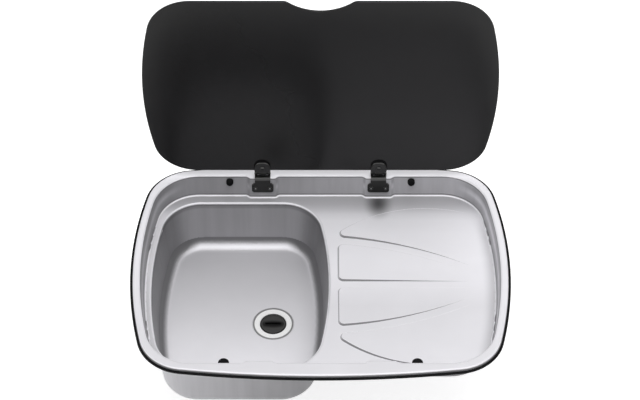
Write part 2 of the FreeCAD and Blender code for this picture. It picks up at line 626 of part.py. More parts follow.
def fan_panel(name, outer):
    """A raised drainer panel behind the centre line, sinking into the floor towards the right."""
    body = new_body(name)
    drawing = new_sketch(body, f"{name}_outline")
    right = number(FAN_RIGHT)
    centre = Vector(number(FAN_ARC_X), -number(f"{D}fan_arc_y"), 0)
    radius = f"{D}fan_arc_radius + {D}fan_channel" if outer else f"{D}fan_arc_radius"
    near_arc = (centre, number(radius))
    start = math.acos((right - centre.x) / near_arc[1])
    if outer:
        centre_2 = Vector(number(FAN_OUTER_X), -number(FAN_OUTER_Y), 0)
        radius_2 = number(f"{D}fan_outer_radius")
        tip = Vector(*leftmost_meeting(centre, near_arc[1], centre_2, radius_2), 0)
        drawing.addGeometry(arc(*near_arc, start, angle_of(tip - centre)))
        start_2 = math.acos((right - centre_2.x) / radius_2)
        low = centre.y + near_arc[1] * math.sin(start)
        high = centre_2.y + radius_2 * math.sin(start_2)
        drawing.addGeometry(Part.LineSegment(Vector(right, low, 0), Vector(right, high, 0)))
        drawing.addGeometry(arc(centre_2, radius_2, start_2, angle_of(tip - centre_2)))
        for a, end_a, b, end_b in ((0, 1, 1, 1), (1, 2, 2, 1), (2, 2, 0, 2)):
            constrain(drawing, "Coincident", a, end_a, b, end_b)
        constrain(drawing, "Vertical", 1)
        constrain(drawing, "DistanceX", -1, 1, 1, 1, size=FAN_RIGHT)
        curves = (
            (0, radius, FAN_ARC_X, f"{D}fan_arc_y"),
            (2, f"{D}fan_outer_radius", FAN_OUTER_X, FAN_OUTER_Y),
        )
    else:
        left, low = number(FAN_LEFT), number(f"{D}fan_gap / 2")
        finish = math.acos((left - centre.x) / near_arc[1])
        high = centre.y + near_arc[1] * math.sin(finish)
        right_high = centre.y + near_arc[1] * math.sin(start)
        corners = [(left, high), (left, low), (right, low), (right, right_high)]
        points = [Vector(x, y, 0) for x, y in corners]
        for i in range(3):
            drawing.addGeometry(Part.LineSegment(points[i], points[i + 1]))
        drawing.addGeometry(arc(*near_arc, start, finish))
        for i in range(4):
            constrain(drawing, "Coincident", i, 2, (i + 1) % 4, 1)
        constrain(drawing, "Vertical", 0)
        constrain(drawing, "Horizontal", 1)
        constrain(drawing, "Vertical", 2)
        constrain(drawing, "DistanceX", -1, 1, 0, 1, size=FAN_LEFT)
        constrain(drawing, "DistanceX", -1, 1, 2, 1, size=FAN_RIGHT)
        constrain(drawing, "DistanceY", -1, 1, 1, 1, size=f"{D}fan_gap / 2")
        curves = ((3, radius, FAN_ARC_X, f"{D}fan_arc_y"),)
    for index, size, middle_x, middle_y in curves:
        constrain(drawing, "Radius", index, size=size)
        constrain(drawing, "DistanceX", -1, 1, index, 3, size=middle_x)
        constrain(drawing, "DistanceY", -1, 1, index, 3, size=f"-{middle_y}")
    pad(body, f"{name}_block", drawing, f"{D}fan_height")
    fade = number(FAN_FADE)
    dress(
        body,
        "Fillet",
        f"{name}_corners",
        lambda e: e.BoundBox.ZLength > 1 and e.BoundBox.DiagonalLength < 5 and e.BoundBox.XMax < fade,
        f"{D}fan_corner",
    )
    top = f"{D}fan_height"
    dress(body, "Chamfer", f"{name}_slopes", level(top), f"{top} - {D}fan_foot")
    side = new_sketch(body, f"{name}_slant", "XZ_Plane")
    corners = [
        (FAN_LEFT, top),
        (FAN_FADE, "0"),
        (f"{FAN_RIGHT} + {PAST}", "0"),
        (f"{FAN_RIGHT} + {PAST}", f"{top} + {PAST}"),
        (FAN_LEFT, f"{top} + {PAST}"),
    ]
    add_polygon(side, corners)
    pocket(body, f"{name}_fade", side, reverse=False)
    return body


def angle_of(way):
    return math.atan2(way.y, way.x)


def leftmost_meeting(a, reach_a, b, reach_b):
    """The left one of the two points where two circles meet."""
    apart = (b - a).Length
    along = (apart**2 + reach_a**2 - reach_b**2) / (2 * apart)
    away = math.sqrt(reach_a**2 - along**2)
    way = (b - a) / apart
    options = [a + way * along + Vector(-way.y, way.x, 0) * away * s for s in (1, -1)]
    best = min(options, key=lambda p: p.x)
    return best.x, best.y


def moved(name, source, z, mirrored=False):
    """A copy of a panel at a height, behind or in front of the centre line."""
    if mirrored:
        copy = doc.addObject("Part::Mirroring", name)
        copy.Source = source
        copy.Normal = Vector(0, 1, 0)
        return place(copy, y=f"{D}fan_centre", z=z)
    copy = group("Compound", name, [source])
    return place(copy, y=f"{D}fan_centre", z=z)


def sink_pressing():
    trimmed = combine("Common", "trimmed_form", pressing_form("outer_form", f"{D}sheet"), under_rim_block())
    rim = combine("Cut", "rim_shell", rim_block("rim_outside", "0"), rim_block("rim_inside", f"{D}sheet"))
    outside = combine("Fuse", "outside_form", trimmed, rim)
    plain = combine("Cut", "plain_pressing", outside, pressing_form("inner_form", "0"))
    raised, hollows = [], []
    for kind in ("inner", "outer"):
        panel = fan_panel(f"{kind}_panel", kind == "outer")
        for place_name, mirrored in (("back", False), ("front", True)):
            name = f"{kind}_panel_{place_name}"
            raised.append(moved(name, panel, f"{D}tray_floor", mirrored))
            hollows.append(moved(f"{name}_hollow", panel, f"{D}tray_floor - {D}sheet", mirrored))
    embossed = group("MultiFuse", "embossed_pressing", [plain] + raised)
    openings = group("MultiFuse", "sink_openings", hollows + sink_holes())
    return combine("Cut", "sink_pressing", embossed, openings)


def sink_holes():
    """Holes for the outlet, the hinge screws and the bumper stems."""
    holes = [
        cylinder(
            "outlet_hole",
            f"{D}waste_hole_radius",
            f"2 * {PAST}",
            x=WASTE_X,
            y=WASTE_Y,
            z=f"{SEAT_Z} - {PAST}",
        )
    ]
    face = wall_y(SCREW_Z, f"{D}pad_height")
    radius = f"{D}base_screw_radius + {D}screw_play"
    for i, (side, edge) in enumerate((a, b) for a in "+-" for b in "+-"):
        x = f"{side}{D}hinge_offset {edge} {D}base_screw_spacing / 2"
        holes.append(across_hole(f"hinge_screw_hole_{i}", radius, x, f"{face} - {PAST}", SCREW_Z))
    radius = f"{D}bumper_stem_radius + {D}stem_play"
    for side, sign in (("left", "-"), ("right", "")):
        x = f"{sign}{D}bumper_offset"
        rear = f"{wall_y(BUTTON_MIDDLE)} - {PAST}"
        front = f"-({wall_y(BUMPER_MIDDLE)} + {PAST})"
        holes.append(across_hole(f"rear_{side}_stem_hole", radius, x, rear, BUTTON_MIDDLE))
        holes.append(across_hole(f"front_{side}_stem_hole", radius, x, front, BUMPER_MIDDLE))
    return holes


def across_hole(name, radius, x, y, z):
    """A short cylinder that points along +Y."""
    return cylinder(name, radius, f"2 * {PAST}", x, y, z, Vector(1, 0, 0), "-90")


def copy_of(source, name, x="0", y="0", z="0", axis=None, angle="0"):
    """The same piece once more, at another place."""
    return place(group("Compound", name, [source]), x, y, z, axis, angle)


def flange_seal():
    """Rubber under the rim, with a lip round the outside."""
    body = new_body("flange_seal")
    whole = new_sketch(body, "seal_whole")
    add_flange_outline(whole, f"{D}seal_lip")
    pad(body, "seal_block", whole, f"{D}seal_lip_height")
    seat = new_sketch(body, "seal_seat", offset=f"{D}seal_lip_height")
    add_flange_outline(seat, "0")
    pocket(body, "seal_rebate", seat, f"{D}seal_lip_height - {D}seal_thickness")
    hole = new_sketch(body, "seal_hole", offset=f"{D}seal_lip_height")
    add_flange_outline(hole, f"-{D}seal_land")
    pocket(body, "seal_opening", hole, f"{D}seal_lip_height + {PAST}")
    return body


# The lid and all that turns with it are drawn closed, with the pivot at the origin, and then
# stood up on their hinge edge.


def stand_up(body, x="0"):
    return place(body, x, PIVOT_Y, PIVOT_Z, Vector(1, 0, 0), "-90")


def add_arch(drawing, half_width, back, centre):
    """Straight back edge, two sides and a half circle round a centre."""
    half, high, low = number(half_width), number(back), number(centre)
    corners = [(-half, low), (-half, high), (half, high), (half, low)]
    points = [Vector(x, y, 0) for x, y in corners]
    for i in range(3):
        drawing.addGeometry(Part.LineSegment(points[i], points[i + 1]))
    drawing.addGeometry(arc(Vector(0, low, 0), half, math.pi, 2 * math.pi))
    constrain(drawing, "Coincident", 0, 2, 1, 1)
    constrain(drawing, "Coincident", 1, 2, 2, 1)
    constrain(drawing, "Tangent", 2, 2, 3, 2)
    constrain(drawing, "Tangent", 3, 1, 0, 1)
    constrain(drawing, "Horizontal", 1)
    constrain(drawing, "Vertical", 0)
    constrain(drawing, "DistanceY", -1, 1, 1, 1, size=back)
    constrain(drawing, "Radius", 3, size=half_width)
    constrain(drawing, "DistanceX", -1, 1, 3, 3, size="0")
    constrain(drawing, "DistanceY", -1, 1, 3, 3, size=centre)


def arch_plate(body, name, half_width, back, centre, low, high):
    drawing = new_sketch(body, f"{name}_outline", offset=low)
    add_arch(drawing, half_width, back, centre)
    return pad(body, name, drawing, f"{high} - ({low})")


def drill(body, name, radius, y, top):
    """A hole down along Z, from a height."""
    drawing = new_sketch(body, f"{name}_outline", offset=top)
    add_circle(drawing, "0", y, radius)
    return pocket(body, name, drawing)


def side_block(body, name, width, left, right, low, high):
    """A block over the whole width of the piece, drawn in side view."""
    drawing = new_sketch(body, f"{name}_outline", "YZ_Plane")
    add_rectangle(drawing, left, right, low, high)
    return pad(body, name, drawing, width, midplane=True)


def side_disc(body, name, width, y, z, radius):
    drawing = new_sketch(body, f"{name}_outline", "YZ_Plane")
    add_circle(drawing, y, z, radius)
    return pad(body, name, drawing, width, midplane=True)


def side_bore(body, name, width, y, z, radius):
    drawing = new_sketch(body, f"{name}_outline", "YZ_Plane")
    add_circle(drawing, y, z, radius)
    return pocket(body, name, drawing, width, midplane=True)


SCREW_Y = f"-{D}clamp_screw_set_back"
SET_BACK = f"-{D}lid_set_back"
PAD_TOP = f"({GLASS_TOP} + {D}outer_pad_thickness)"
ARM_UNDER = f"({D}arm_height - {D}arm_plate)"


def glass_lid():
    body = new_body("glass_lid")
    middle = f"({SET_BACK} - {LID_DEPTH} / 2)"
    drawing = new_sketch(body, "glass_outline", offset=GLASS_UNDER)
    sides = f"{D}lid_side_radius"
    add_bulged_outline(drawing, LID_WIDTH, LID_DEPTH, sides, f"{D}lid_corner_radius", y=middle)
    pad(body, "glass_sheet", drawing, f"{D}lid_thickness")
    notch = new_sketch(body, "notch_outline", offset=GLASS_TOP)
    free_edge = f"({SET_BACK} - {LID_DEPTH})"
    add_circle(notch, "0", f"{free_edge} - {D}notch_radius + {D}notch_depth", f"{D}notch_radius")
    pocket(body, "notch", notch)
    near = number(free_edge) + 5
    reach = number(f"{D}notch_radius")

    def notch_end(edge):
        box = edge.BoundBox
        return box.ZLength > 1 and box.YMax < near and abs(box.XMax) < reach and box.XLength < NEAR

    dress(body, "Fillet", "notch_blends", notch_end, f"{D}notch_blend")
    holes = new_sketch(body, "glass_hole_outlines", offset=GLASS_TOP)
    for side in ("", "-"):
        add_circle(holes, f"{side}{D}hinge_offset", SCREW_Y, f"{D}glass_hole_radius")
    pocket(body, "glass_holes", holes)
    for name, height in (("upper", GLASS_TOP), ("lower", GLASS_UNDER)):
        box = (0, number(middle), number(f"{LID_WIDTH} / 2") + 1, number(f"{LID_DEPTH} / 2") + 1)
        inside = level(height, box)
        dress(body, "Chamfer", f"{name}_ground_edge", inside, f"{D}lid_edge")
    return stand_up(body)


def hinge_arm(side, x):
    body = new_body(f"{side}_hinge_arm")
    half = f"{D}hinge_width / 2"
    reach = f"-({D}knuckle_radius + {D}arm_clearance)"
    arch_plate(body, f"{side}_arm_plate", half, reach, SCREW_Y, ARM_UNDER, f"{D}arm_height")
    arch_plate(body, f"{side}_arm_boss", half, f"{SET_BACK} + 1", SCREW_Y, PAD_TOP, f"{D}arm_height")
    side_disc(body, f"{side}_knuckle", f"{D}knuckle_width", "0", "0", f"{D}knuckle_radius")
    side_block(body, f"{side}_neck", f"{D}knuckle_width", f"{reach} - 1", "0", ARM_UNDER, f"{D}arm_height")
    side_block(body, f"{side}_heel", f"{D}knuckle_width", "0", f"{D}knuckle_radius", "0", f"{D}heel_reach")
    side_bore(body, f"{side}_arm_bore", f"{half} + {half}", "0", "0", f"{D}pin_radius + {D}pin_clearance")
    threads = new_sketch(body, f"{side}_thread_outline", offset=PAD_TOP)
    add_circle(threads, "0", SCREW_Y, f"{D}clamp_screw_radius")
    depth = f"{D}arm_height - {PAD_TOP} - {D}thread_cover"
    pocket(body, f"{side}_arm_thread", threads, depth, reverse=True)
    top = number(f"{D}arm_height")
    far = number(reach) - 0.1
    dress(
        body,
        "Fillet",
        f"{side}_arm_edge",
        lambda e: e.BoundBox.ZMin > top - NEAR and e.BoundBox.YMax < far,
        f"{D}arm_edge",
    )
    return stand_up(body, x)


def clamp_plate(side, x):
    body = new_body(f"{side}_clamp_plate")
    half = f"{D}hinge_width / 2"
    lip = f"{SET_BACK} + {D}rest_gap"
    back = f"({lip} + {D}clamp_lip)"
    arch_plate(body, f"{side}_clamp", half, back, SCREW_Y, CLAMP_UNDER, CLAMP_TOP)
    side_block(body, f"{side}_clamp_lip", f"{D}hinge_width", lip, back, CLAMP_UNDER, PAD_TOP)
    drill(body, f"{side}_clamp_hole", f"{D}clamp_screw_radius + {D}clamp_screw_play", SCREW_Y, CLAMP_TOP)
    under = number(CLAMP_UNDER)
    far = number(SET_BACK)
    dress(
        body,
        "Fillet",
        f"{side}_clamp_edge",
        lambda e: e.BoundBox.ZMax < under + NEAR and e.BoundBox.YMin < far and e.BoundBox.XLength > 8,
        f"{D}clamp_edge",
    )
    return stand_up(body, x)


def lid_pad(side, x, kind):
    body = new_body(f"{side}_{kind}_pad")
    if kind == "inner":
        half = f"({D}hinge_width / 2 + {D}pad_margin)"
        centre = f"({SCREW_Y} - {D}pad_rise)"
        arch_plate(body, f"{side}_{kind}_sheet", half, SET_BACK, centre, CLAMP_TOP, GLASS_UNDER)
    else:
        half = f"({D}hinge_width / 2)"
        arch_plate(body, f"{side}_{kind}_sheet", half, SET_BACK, SCREW_Y, GLASS_TOP, PAD_TOP)
    drill(body, f"{side}_{kind}_hole", f"{D}glass_hole_radius", SCREW_Y, PAD_TOP)
    return stand_up(body, x)


def screw(name, head_radius, head_height, shank_radius, length):
    """A screw along Z: the head stands on the origin plane, the shank reaches down."""
    body = new_body(name)
    drawing = new_sketch(body, f"{name}_profile", "XZ_Plane")
    crown = f"({head_radius} - {head_height} / 3)"
    corners = [
        ("0", f"-({length})"),
        (f"{shank_radius} - {D}screw_point", f"-({length})"),
        (shank_radius, f"-({length}) + {D}screw_point"),
        (shank_radius, "0"),
        (head_radius, "0"),
        (head_radius, f"{head_height} / 2"),
        (crown, head_height),
        ("0", head_height),
    ]
    add_polygon(drawing, corners)
    revolve(body, f"{name}_turned", drawing)
    cross = new_sketch(body, f"{name}_drive_outline", offset=head_height)
    wide, narrow = f"{head_radius} * 0.55", f"{head_radius} * 0.13"
    corners = []
    for x, y in (("+", "+"), ("-", "+"), ("-", "-"), ("+", "-")):
        elbow = [
            (f"{x}{wide}", f"{y}{narrow}"),
            (f"{x}{narrow}", f"{y}{narrow}"),
            (f"{x}{narrow}", f"{y}{wide}"),
        ]
        corners += elbow if x == y else elbow[::-1]
    add_polygon(cross, corners)
    pocket(body, f"{name}_drive", cross, f"{D}screw_drive_depth")
    return body


def hinge_base(side, x):
    body = new_body(f"{side}_hinge_base")
    thick = f"{D}base_thickness"

    def face(z, out="0"):
        return wall_y(z, f"{D}pad_height + {out}")

    top = f"{D}rim_top"
    profile = new_sketch(body, f"{side}_strap_profile", "YZ_Plane")
    shelf = f"{PIVOT_Y} - {D}knuckle_radius - {D}rest_gap"
    bottom = f"{D}base_foot_bottom"
    corners = [
        (face(bottom, thick), bottom),
        (face(bottom), bottom),
        (face(top), top),
        (shelf, top),
        (shelf, f"{top} + {thick}"),
        (face(f"{top} + {thick}", thick), f"{top} + {thick}"),
    ]
    add_polygon(profile, corners)
    pad(body, f"{side}_strap", profile, f"{D}hinge_width", midplane=True)
    foot = new_sketch(body, f"{side}_foot_profile", "YZ_Plane")
    high = f"{D}base_foot_top"
    corners = [
        (face(bottom, thick), bottom),
        (face(bottom), bottom),
        (face(high), high),
        (face(high, thick), high),
    ]
    add_polygon(foot, corners)
    pad(body, f"{side}_foot", foot, f"{D}base_foot_width", midplane=True)
    beside = number(f"{D}base_foot_width / 2") - NEAR
    dress(
        body,
        "Fillet",
        f"{side}_foot_corners",
        lambda e: abs(e.BoundBox.XMin) > beside and e.BoundBox.XLength < NEAR and e.BoundBox.ZLength < 1,
        f"{D}base_foot_corner",
    )
    over = number(f"{top} + {thick}") - NEAR
    front = number(face(top)) - 0.1
    dress(
        body,
        "Fillet",
        f"{side}_strap_bend",
        lambda e: e.BoundBox.ZMin > over and e.BoundBox.YMax < front and e.BoundBox.XLength > 20,
        f"{D}strap_bend",
    )
    width = f"{D}hinge_width"
    left = f"{shelf} - {D}ear_root"
    right = f"{PIVOT_Y} + {D}knuckle_radius"
    side_block(body, f"{side}_ear_block", width, left, right, top, PIVOT_Z)
    side_disc(body, f"{side}_ear_disc", width, PIVOT_Y, PIVOT_Z, f"{D}knuckle_radius")
    middle = new_sketch(body, f"{side}_gap_outline", "YZ_Plane")
    corners = [
        (shelf, f"{top} - {PAST}"),
        (f"{right} + {PAST}", f"{top} - {PAST}"),
        (f"{right} + {PAST}", f"{PIVOT_Z} + {PAST}"),
        (f"{left} - {PAST}", f"{PIVOT_Z} + {PAST}"),
        (f"{left} - {PAST}", f"{top} + {thick}"),
        (shelf, f"{top} + {thick}"),
    ]
    add_polygon(middle, corners)
    pocket(body, f"{side}_ear_gap", middle, f"{width} - 2 * {D}ear_width", midplane=True)
    side_bore(body, f"{side}_ear_bore", width, PIVOT_Y, PIVOT_Z, f"{D}pin_radius")
    holes = new_sketch(body, f"{side}_screw_holes", "XZ_Plane", offset=f"-{TRAY_DEPTH} / 2")
    for sign in ("", "-"):
        across = f"{sign}{D}base_screw_spacing / 2"
        add_circle(holes, across, SCREW_Z, f"{D}base_screw_radius + {D}screw_play")
    pocket(body, f"{side}_drilled", holes, f"4 * {PAST}", midplane=True)
    return place(body, x)


def hinge_pin(side, x):
    body = new_body(f"{side}_hinge_pin")
    side_disc(body, f"{side}_pin", f"{D}hinge_width", "0", "0", f"{D}pin_radius")
    for name, reverse in (("near", False), ("far", True)):
        sign = "-" if reverse else ""
        drawing = new_sketch(body, f"{side}_{name}_rivet", "YZ_Plane", offset=f"{sign}{D}hinge_width / 2")
        add_circle(drawing, "0", "0", f"{D}pin_radius + {D}rivet_head")
        pad(body, f"{side}_{name}_head", drawing, f"{D}rivet_head", reverse=reverse)
    return place(body, x, PIVOT_Y, PIVOT_Z)


def hinge_washers(side, x):
    """The two black friction washers beside the middle knuckle."""
    tubes = []
    inner = f"{D}knuckle_width / 2 + {D}washer_gap"
    free = f"({D}hinge_width - 2 * {D}ear_width - {D}knuckle_width) / 2"
    length = f"{free} - {D}washer_gap"
    for name, sign in (("near", ""), ("far", "-")):
        body = new_body(f"{side}_{name}_washer")
        drawing = new_sketch(body, f"{side}_{name}_washer_ring", "YZ_Plane", offset=f"{sign}({inner})")
        add_circle(drawing, "0", "0", f"{D}pin_radius")
        add_circle(drawing, "0", "0", f"{D}pin_radius + {D}washer_wall")
        pad(body, f"{side}_{name}_tube", drawing, length, reverse=bool(sign))
        tubes.append(body)
    return place(group("Compound", f"{side}_hinge_washers", tubes), x, PIVOT_Y, PIVOT_Z)


def hinge_base_fixings():
    """Screws through the feet and the wall, and their nuts behind the wall."""
    pan = screw(
        "base_screw",
        f"{D}screw_head_radius",
        f"{D}screw_head_height",
        f"{D}base_screw_radius",
        f"{D}base_thickness + {D}sheet + {D}base_screw_spare",
    )
    hexagon = doc.addObject("Part::Prism", "nut_blank")
    hexagon.Polygon = 6
    hexagon.setExpression("Circumradius", f"{D}nut_width / sqrt(3)")
    hexagon.setExpression("Height", f"{D}nut_height")
    bore = cylinder("nut_bore", f"{D}base_screw_radius", f"{D}nut_height")
    nut = combine("Cut", "base_nut", hexagon, bore)
    screws, nuts = [], []
    face = wall_y(SCREW_Z, f"{D}pad_height")
    under_head = f"({face} - {D}base_thickness)"
    clamped = f"({D}base_thickness + {D}sheet * (1 + tan({WALL_LEAN}))) * cos({WALL_LEAN})"
    along = f"({clamped} + {D}nut_height)"
    nut_y = f"{under_head} + {along} * cos({WALL_LEAN})"
    nut_z = f"{SCREW_Z} - {along} * sin({WALL_LEAN})"
    tip = f"90 deg - {WALL_LEAN}"
    for i, (side, edge) in enumerate((a, b) for a in ("", "-") for b in "+-"):
        x = f"{side}{D}hinge_offset {edge} {D}base_screw_spacing / 2"
        screws.append(copy_of(pan, f"base_screw_{i}", x, under_head, SCREW_Z, Vector(1, 0, 0), tip))
        nuts.append(copy_of(nut, f"base_nut_{i}", x, nut_y, nut_z, Vector(1, 0, 0), tip))
    return group("Compound", "hinge_base_screws", screws), group("Compound", "hinge_base_nuts", nuts)


def lid_clamp_screws():
    length = f"{PAD_TOP} + {D}clamp_screw_grip - {CLAMP_UNDER}"
    head = (f"{D}screw_head_radius", f"{D}screw_head_height")
    pan = screw("clamp_screw", *head, f"{D}clamp_screw_radius", length)
    screws = []
    for name, sign in (("left", "-"), ("right", "")):
        spot = (f"{sign}{D}hinge_offset", SCREW_Y, CLAMP_UNDER)
        screws.append(copy_of(pan, f"{name}_clamp_screw", *spot, Vector(1, 0, 0), "180"))
    return stand_up(group("Compound", "lid_clamp_screws", screws))


# The bumpers are drawn on the rear wall. The front ones are then turned round.


def cut_at_wall(body, name, width, low, high):
    """Takes away what lies behind the face of the rear wall."""
    back = new_sketch(body, f"{name}_wall_line", "YZ_Plane")
    behind = f"{TRAY_DEPTH} / 2 + 2 * {PAST}"
    add_polygon(back, [(wall_y(low), low), (behind, low), (behind, high), (wall_y(high), high)])
    pocket(body, f"{name}_back", back, f"{width} + {PAST}", midplane=True)


def add_stem(body, name, middle):
    """A barbed stem that reaches through the wall at a height."""
    wall = wall_y(middle)
    stem = new_sketch(body, f"{name}_stem_outline", "XZ_Plane", offset=f"-({wall} - 1)")
    add_circle(stem, "0", middle, f"{D}bumper_stem_radius")
    pad(body, f"{name}_stem", stem, f"{D}sheet + {D}stem_length", reverse=True)
    behind_wall = f"-({wall} + {D}sheet + {D}barb_gap)"
    barb = new_sketch(body, f"{name}_barb_outline", "XZ_Plane", offset=behind_wall)
    add_circle(barb, "0", middle, f"{D}bumper_stem_radius + {D}bumper_barb")
    pad(body, f"{name}_barb", barb, f"{D}barb_thickness", reverse=True)


def rear_bumper():
    """A domed rubber button."""
    name, radius = "rear_bumper", f"{D}button_radius"
    body = new_body(name)
    disc = new_sketch(body, f"{name}_outline", "XZ_Plane", offset=f"-{BUTTON_REACH}")
    add_circle(disc, "0", BUTTON_MIDDLE, radius)
    pad(body, f"{name}_button", disc, f"{D}button_stand_out + {PAST}", reverse=True)
    cut_at_wall(body, name, f"2 * {radius}", f"{BUTTON_MIDDLE} - {radius} - 1", f"{BUMPER_TOP} + 1")
    front = number(BUTTON_REACH) + NEAR
    dress(body, "Fillet", f"{name}_dome", lambda e: e.BoundBox.YMax < front, f"{D}button_dome")
    add_stem(body, name, BUTTON_MIDDLE)
    return body


def front_bumper():
    """A rubber tongue."""
    name, width = "front_bumper", f"{D}bumper_width"
    body = new_body(name)
    low = f"{BUMPER_TOP} - {D}bumper_thickness"
    tongue = new_sketch(body, f"{name}_tongue", offset=low)
    back = f"{wall_y(BUMPER_TOP)} + {PAST}"
    add_arch(tongue, f"({width} / 2)", back, f"({BUMPER_REACH} + {width} / 2)")
    pad(body, f"{name}_block", tongue, f"{D}bumper_thickness")
    cut_at_wall(body, name, width, f"{low} - 1", f"{BUMPER_TOP} + 1")
    middle, far = number(BUMPER_MIDDLE), number(wall_y(low)) - 0.5
    dress(
        body,
        "Fillet",
        f"{name}_rounding",
        lambda e: e.BoundBox.ZLength < NEAR and e.BoundBox.YMin < far and abs(e.BoundBox.ZMin - middle) > 1,
        f"{D}bumper_edge",
    )
    add_stem(body, name, BUMPER_MIDDLE)
    return body


def bumpers():
    pieces = []
    for end, drawn, turn in (("rear", rear_bumper(), "0"), ("front", front_bumper(), "180")):
        for side, sign in (("left", "-"), ("right", "")):
            x = f"{sign}{D}bumper_offset"
            label = f"{end}_{side}_bumper"
            pieces.append((copy_of(drawn, label, x, "0", "0", Vector(0, 0, 1), turn), label))
    return pieces


def turned(name, corners):
    """A round piece on the outlet's axis, from its half profile."""
    body = new_body(name)
    drawing = new_sketch(body, f"{name}_profile", "XZ_Plane")
    add_polygon(drawing, corners)
    revolve(body, f"{name}_turned", drawing)
    return place(body, WASTE_X, WASTE_Y)


def waste_flange():
    ring, throat = f"{D}waste_ring_radius", f"{D}throat_radius"
    bevel = f"{D}waste_ring_bevel"
    outside = f"{throat} + {D}throat_wall"
    low = f"{RING_TOP} - {D}waste_ring_thickness"
    corners = [
        (ring, low),
        (ring, f"{RING_TOP} - {bevel}"),
        (f"{ring} - {bevel}", RING_TOP),
        (f"{throat} + {bevel}", RING_TOP),
        (throat, f"{RING_TOP} - {bevel}"),
        (throat, f"{THROAT_END} + {D}throat_wall"),
        (f"{throat} - {D}throat_ledge", f"{THROAT_END} + {D}throat_wall"),
        (f"{throat} - {D}throat_ledge", THROAT_END),
        (outside, THROAT_END),
        (outside, low),
    ]
    return turned("waste_flange", corners)


def ring_seal(name, inner, outer, low, high):
    return turned(name, [(inner, low), (outer, low), (outer, high), (inner, high)])


def waste_upper_seal():
    """Flat seal between the ring and the bowl floor."""
    inner = f"{D}throat_radius + {D}throat_wall + {D}waste_gap"
    outer = f"{D}waste_ring_radius - 2 * {D}waste_gap"
    return ring_seal("waste_upper_seal", inner, outer, SEAT_Z, f"{RING_TOP} - {D}waste_ring_thickness")


def waste_lower_seal():
    """Flat seal between the bowl floor and the waste body."""
    inner = f"{D}waste_hole_radius + {D}waste_gap"
    outer = f"{D}waste_body_radius - 2 * {D}waste_gap"
    return ring_seal("waste_lower_seal", inner, outer, CUP_TOP, f"{CUP_TOP} + {D}lower_seal_thickness")


def strainer_grid():
    body = new_body("strainer_grid")
    low = f"{STRAINER_TOP} - {D}strainer_thickness"
    disc = new_sketch(body, "strainer_outline", offset=low)
    add_circle(disc, "0", "0", f"{D}throat_radius - {D}strainer_play")
    add_circle(disc, "0", "0", f"{D}waste_screw_radius")
    for count, reach in ((6, f"{D}strainer_inner_row"), (12, f"{D}strainer_outer_row")):
        for i in range(count):
            angle = f"{360 / count} * {i}"
            x, y = f"{reach} * cos({angle})", f"{reach} * sin({angle})"
            add_circle(disc, x, y, f"{D}strainer_hole_radius")
    pad(body, "strainer_disc", disc, f"{D}strainer_thickness")
    return place(body, WASTE_X, WASTE_Y)


def waste_body():
    """Flange, cup and hose spigot, with a cross in the cup that takes the screw."""
    wall = f"{D}waste_wall"
    cup, spigot = f"{D}waste_cup_radius", f"{D}spigot_radius"
    floor = f"{CUP_END} + {wall}"
    end = f"{CUP_END} - {D}spigot_length"
    corners = [
        (f"{cup} - {wall}", CUP_TOP),
        (f"{D}waste_body_radius", CUP_TOP),
        (f"{D}waste_body_radius", f"{CUP_TOP} - {wall}"),
        (cup, f"{CUP_TOP} - {wall}"),
        (cup, CUP_END),
        (spigot, CUP_END),
        (spigot, end),
        (f"{D}spigot_bore", end),
        (f"{D}spigot_bore", floor),
        (f"{cup} - {wall}", floor),
    ]
    body = turned("waste_body", corners)
    cross_top = f"{THROAT_END} - {D}waste_gap"
    for name, half_x, half_y in (
        ("cross_web", f"({cup} - {wall} / 2)", f"({D}waste_web / 2)"),
        ("other_web", f"({D}waste_web / 2)", f"({cup} - {wall} / 2)"),
    ):
        web = new_sketch(body, f"{name}_outline", offset=CUP_END)
        add_rectangle(web, f"-{half_x}", half_x, f"-{half_y}", half_y)
        pad(body, name, web, f"{cross_top} - {CUP_END}")
    boss = new_sketch(body, "waste_boss_outline", offset=CUP_END)
    add_circle(boss, "0", "0", f"{D}waste_boss_radius")
    pad(body, "waste_boss", boss, f"{cross_top} - {CUP_END}")
    thread = new_sketch(body, "waste_thread_outline", offset=cross_top)
    add_circle(thread, "0", "0", f"{D}waste_screw_radius")
    pocket(body, "waste_thread", thread, f"{cross_top} - {CUP_END}")
    return body


def waste_screw():
    head = (f"{D}waste_screw_head", f"{D}waste_screw_head_height")
    length = f"{STRAINER_TOP} - {CUP_END} - {D}waste_gap"
    bolt = screw("waste_screw", *head, f"{D}waste_screw_radius", length)
    return place(bolt, WASTE_X, WASTE_Y, STRAINER_TOP)


def plug():
    """The rubber stopper and the harder cap in it."""
    bottom = f"{RING_TOP} - {D}plug_height"
    outside = f"{D}throat_radius - {D}plug_clearance"
    recess = f"{RING_TOP} - {D}plug_recess"
    inside = f"{outside} - {D}plug_rim"
    stopper = turned(
        "plug_stopper",
        [
            ("0", bottom),
            (f"{outside} - {D}plug_step", bottom),
            (f"{outside} - {D}plug_step", STRAINER_TOP),
            (f"{outside} - {D}plug_edge", STRAINER_TOP),
            (outside, f"{STRAINER_TOP} + {D}plug_edge"),
            (outside, f"{RING_TOP} - {D}plug_edge"),
            (f"{outside} - {D}plug_edge", RING_TOP),
            (inside, RING_TOP),
            (inside, recess),
            ("0", recess),
        ],
    )
    face = f"{RING_TOP} - {D}plug_cap_sunk"
    cap = turned("plug_cap", [("0", recess), (inside, recess), (inside, face), ("0", face)])
    slot = new_sketch(cap, "grip_slot_outline", offset=face)
    half_x, half_y = f"{D}plug_slot_length / 2", f"{D}plug_slot_width / 2"
    add_rectangle(slot, f"-{half_x}", half_x, f"-{half_y}", half_y)
    pocket(cap, "grip_slot", slot, f"{D}plug_slot_depth")
    return stopper, cap


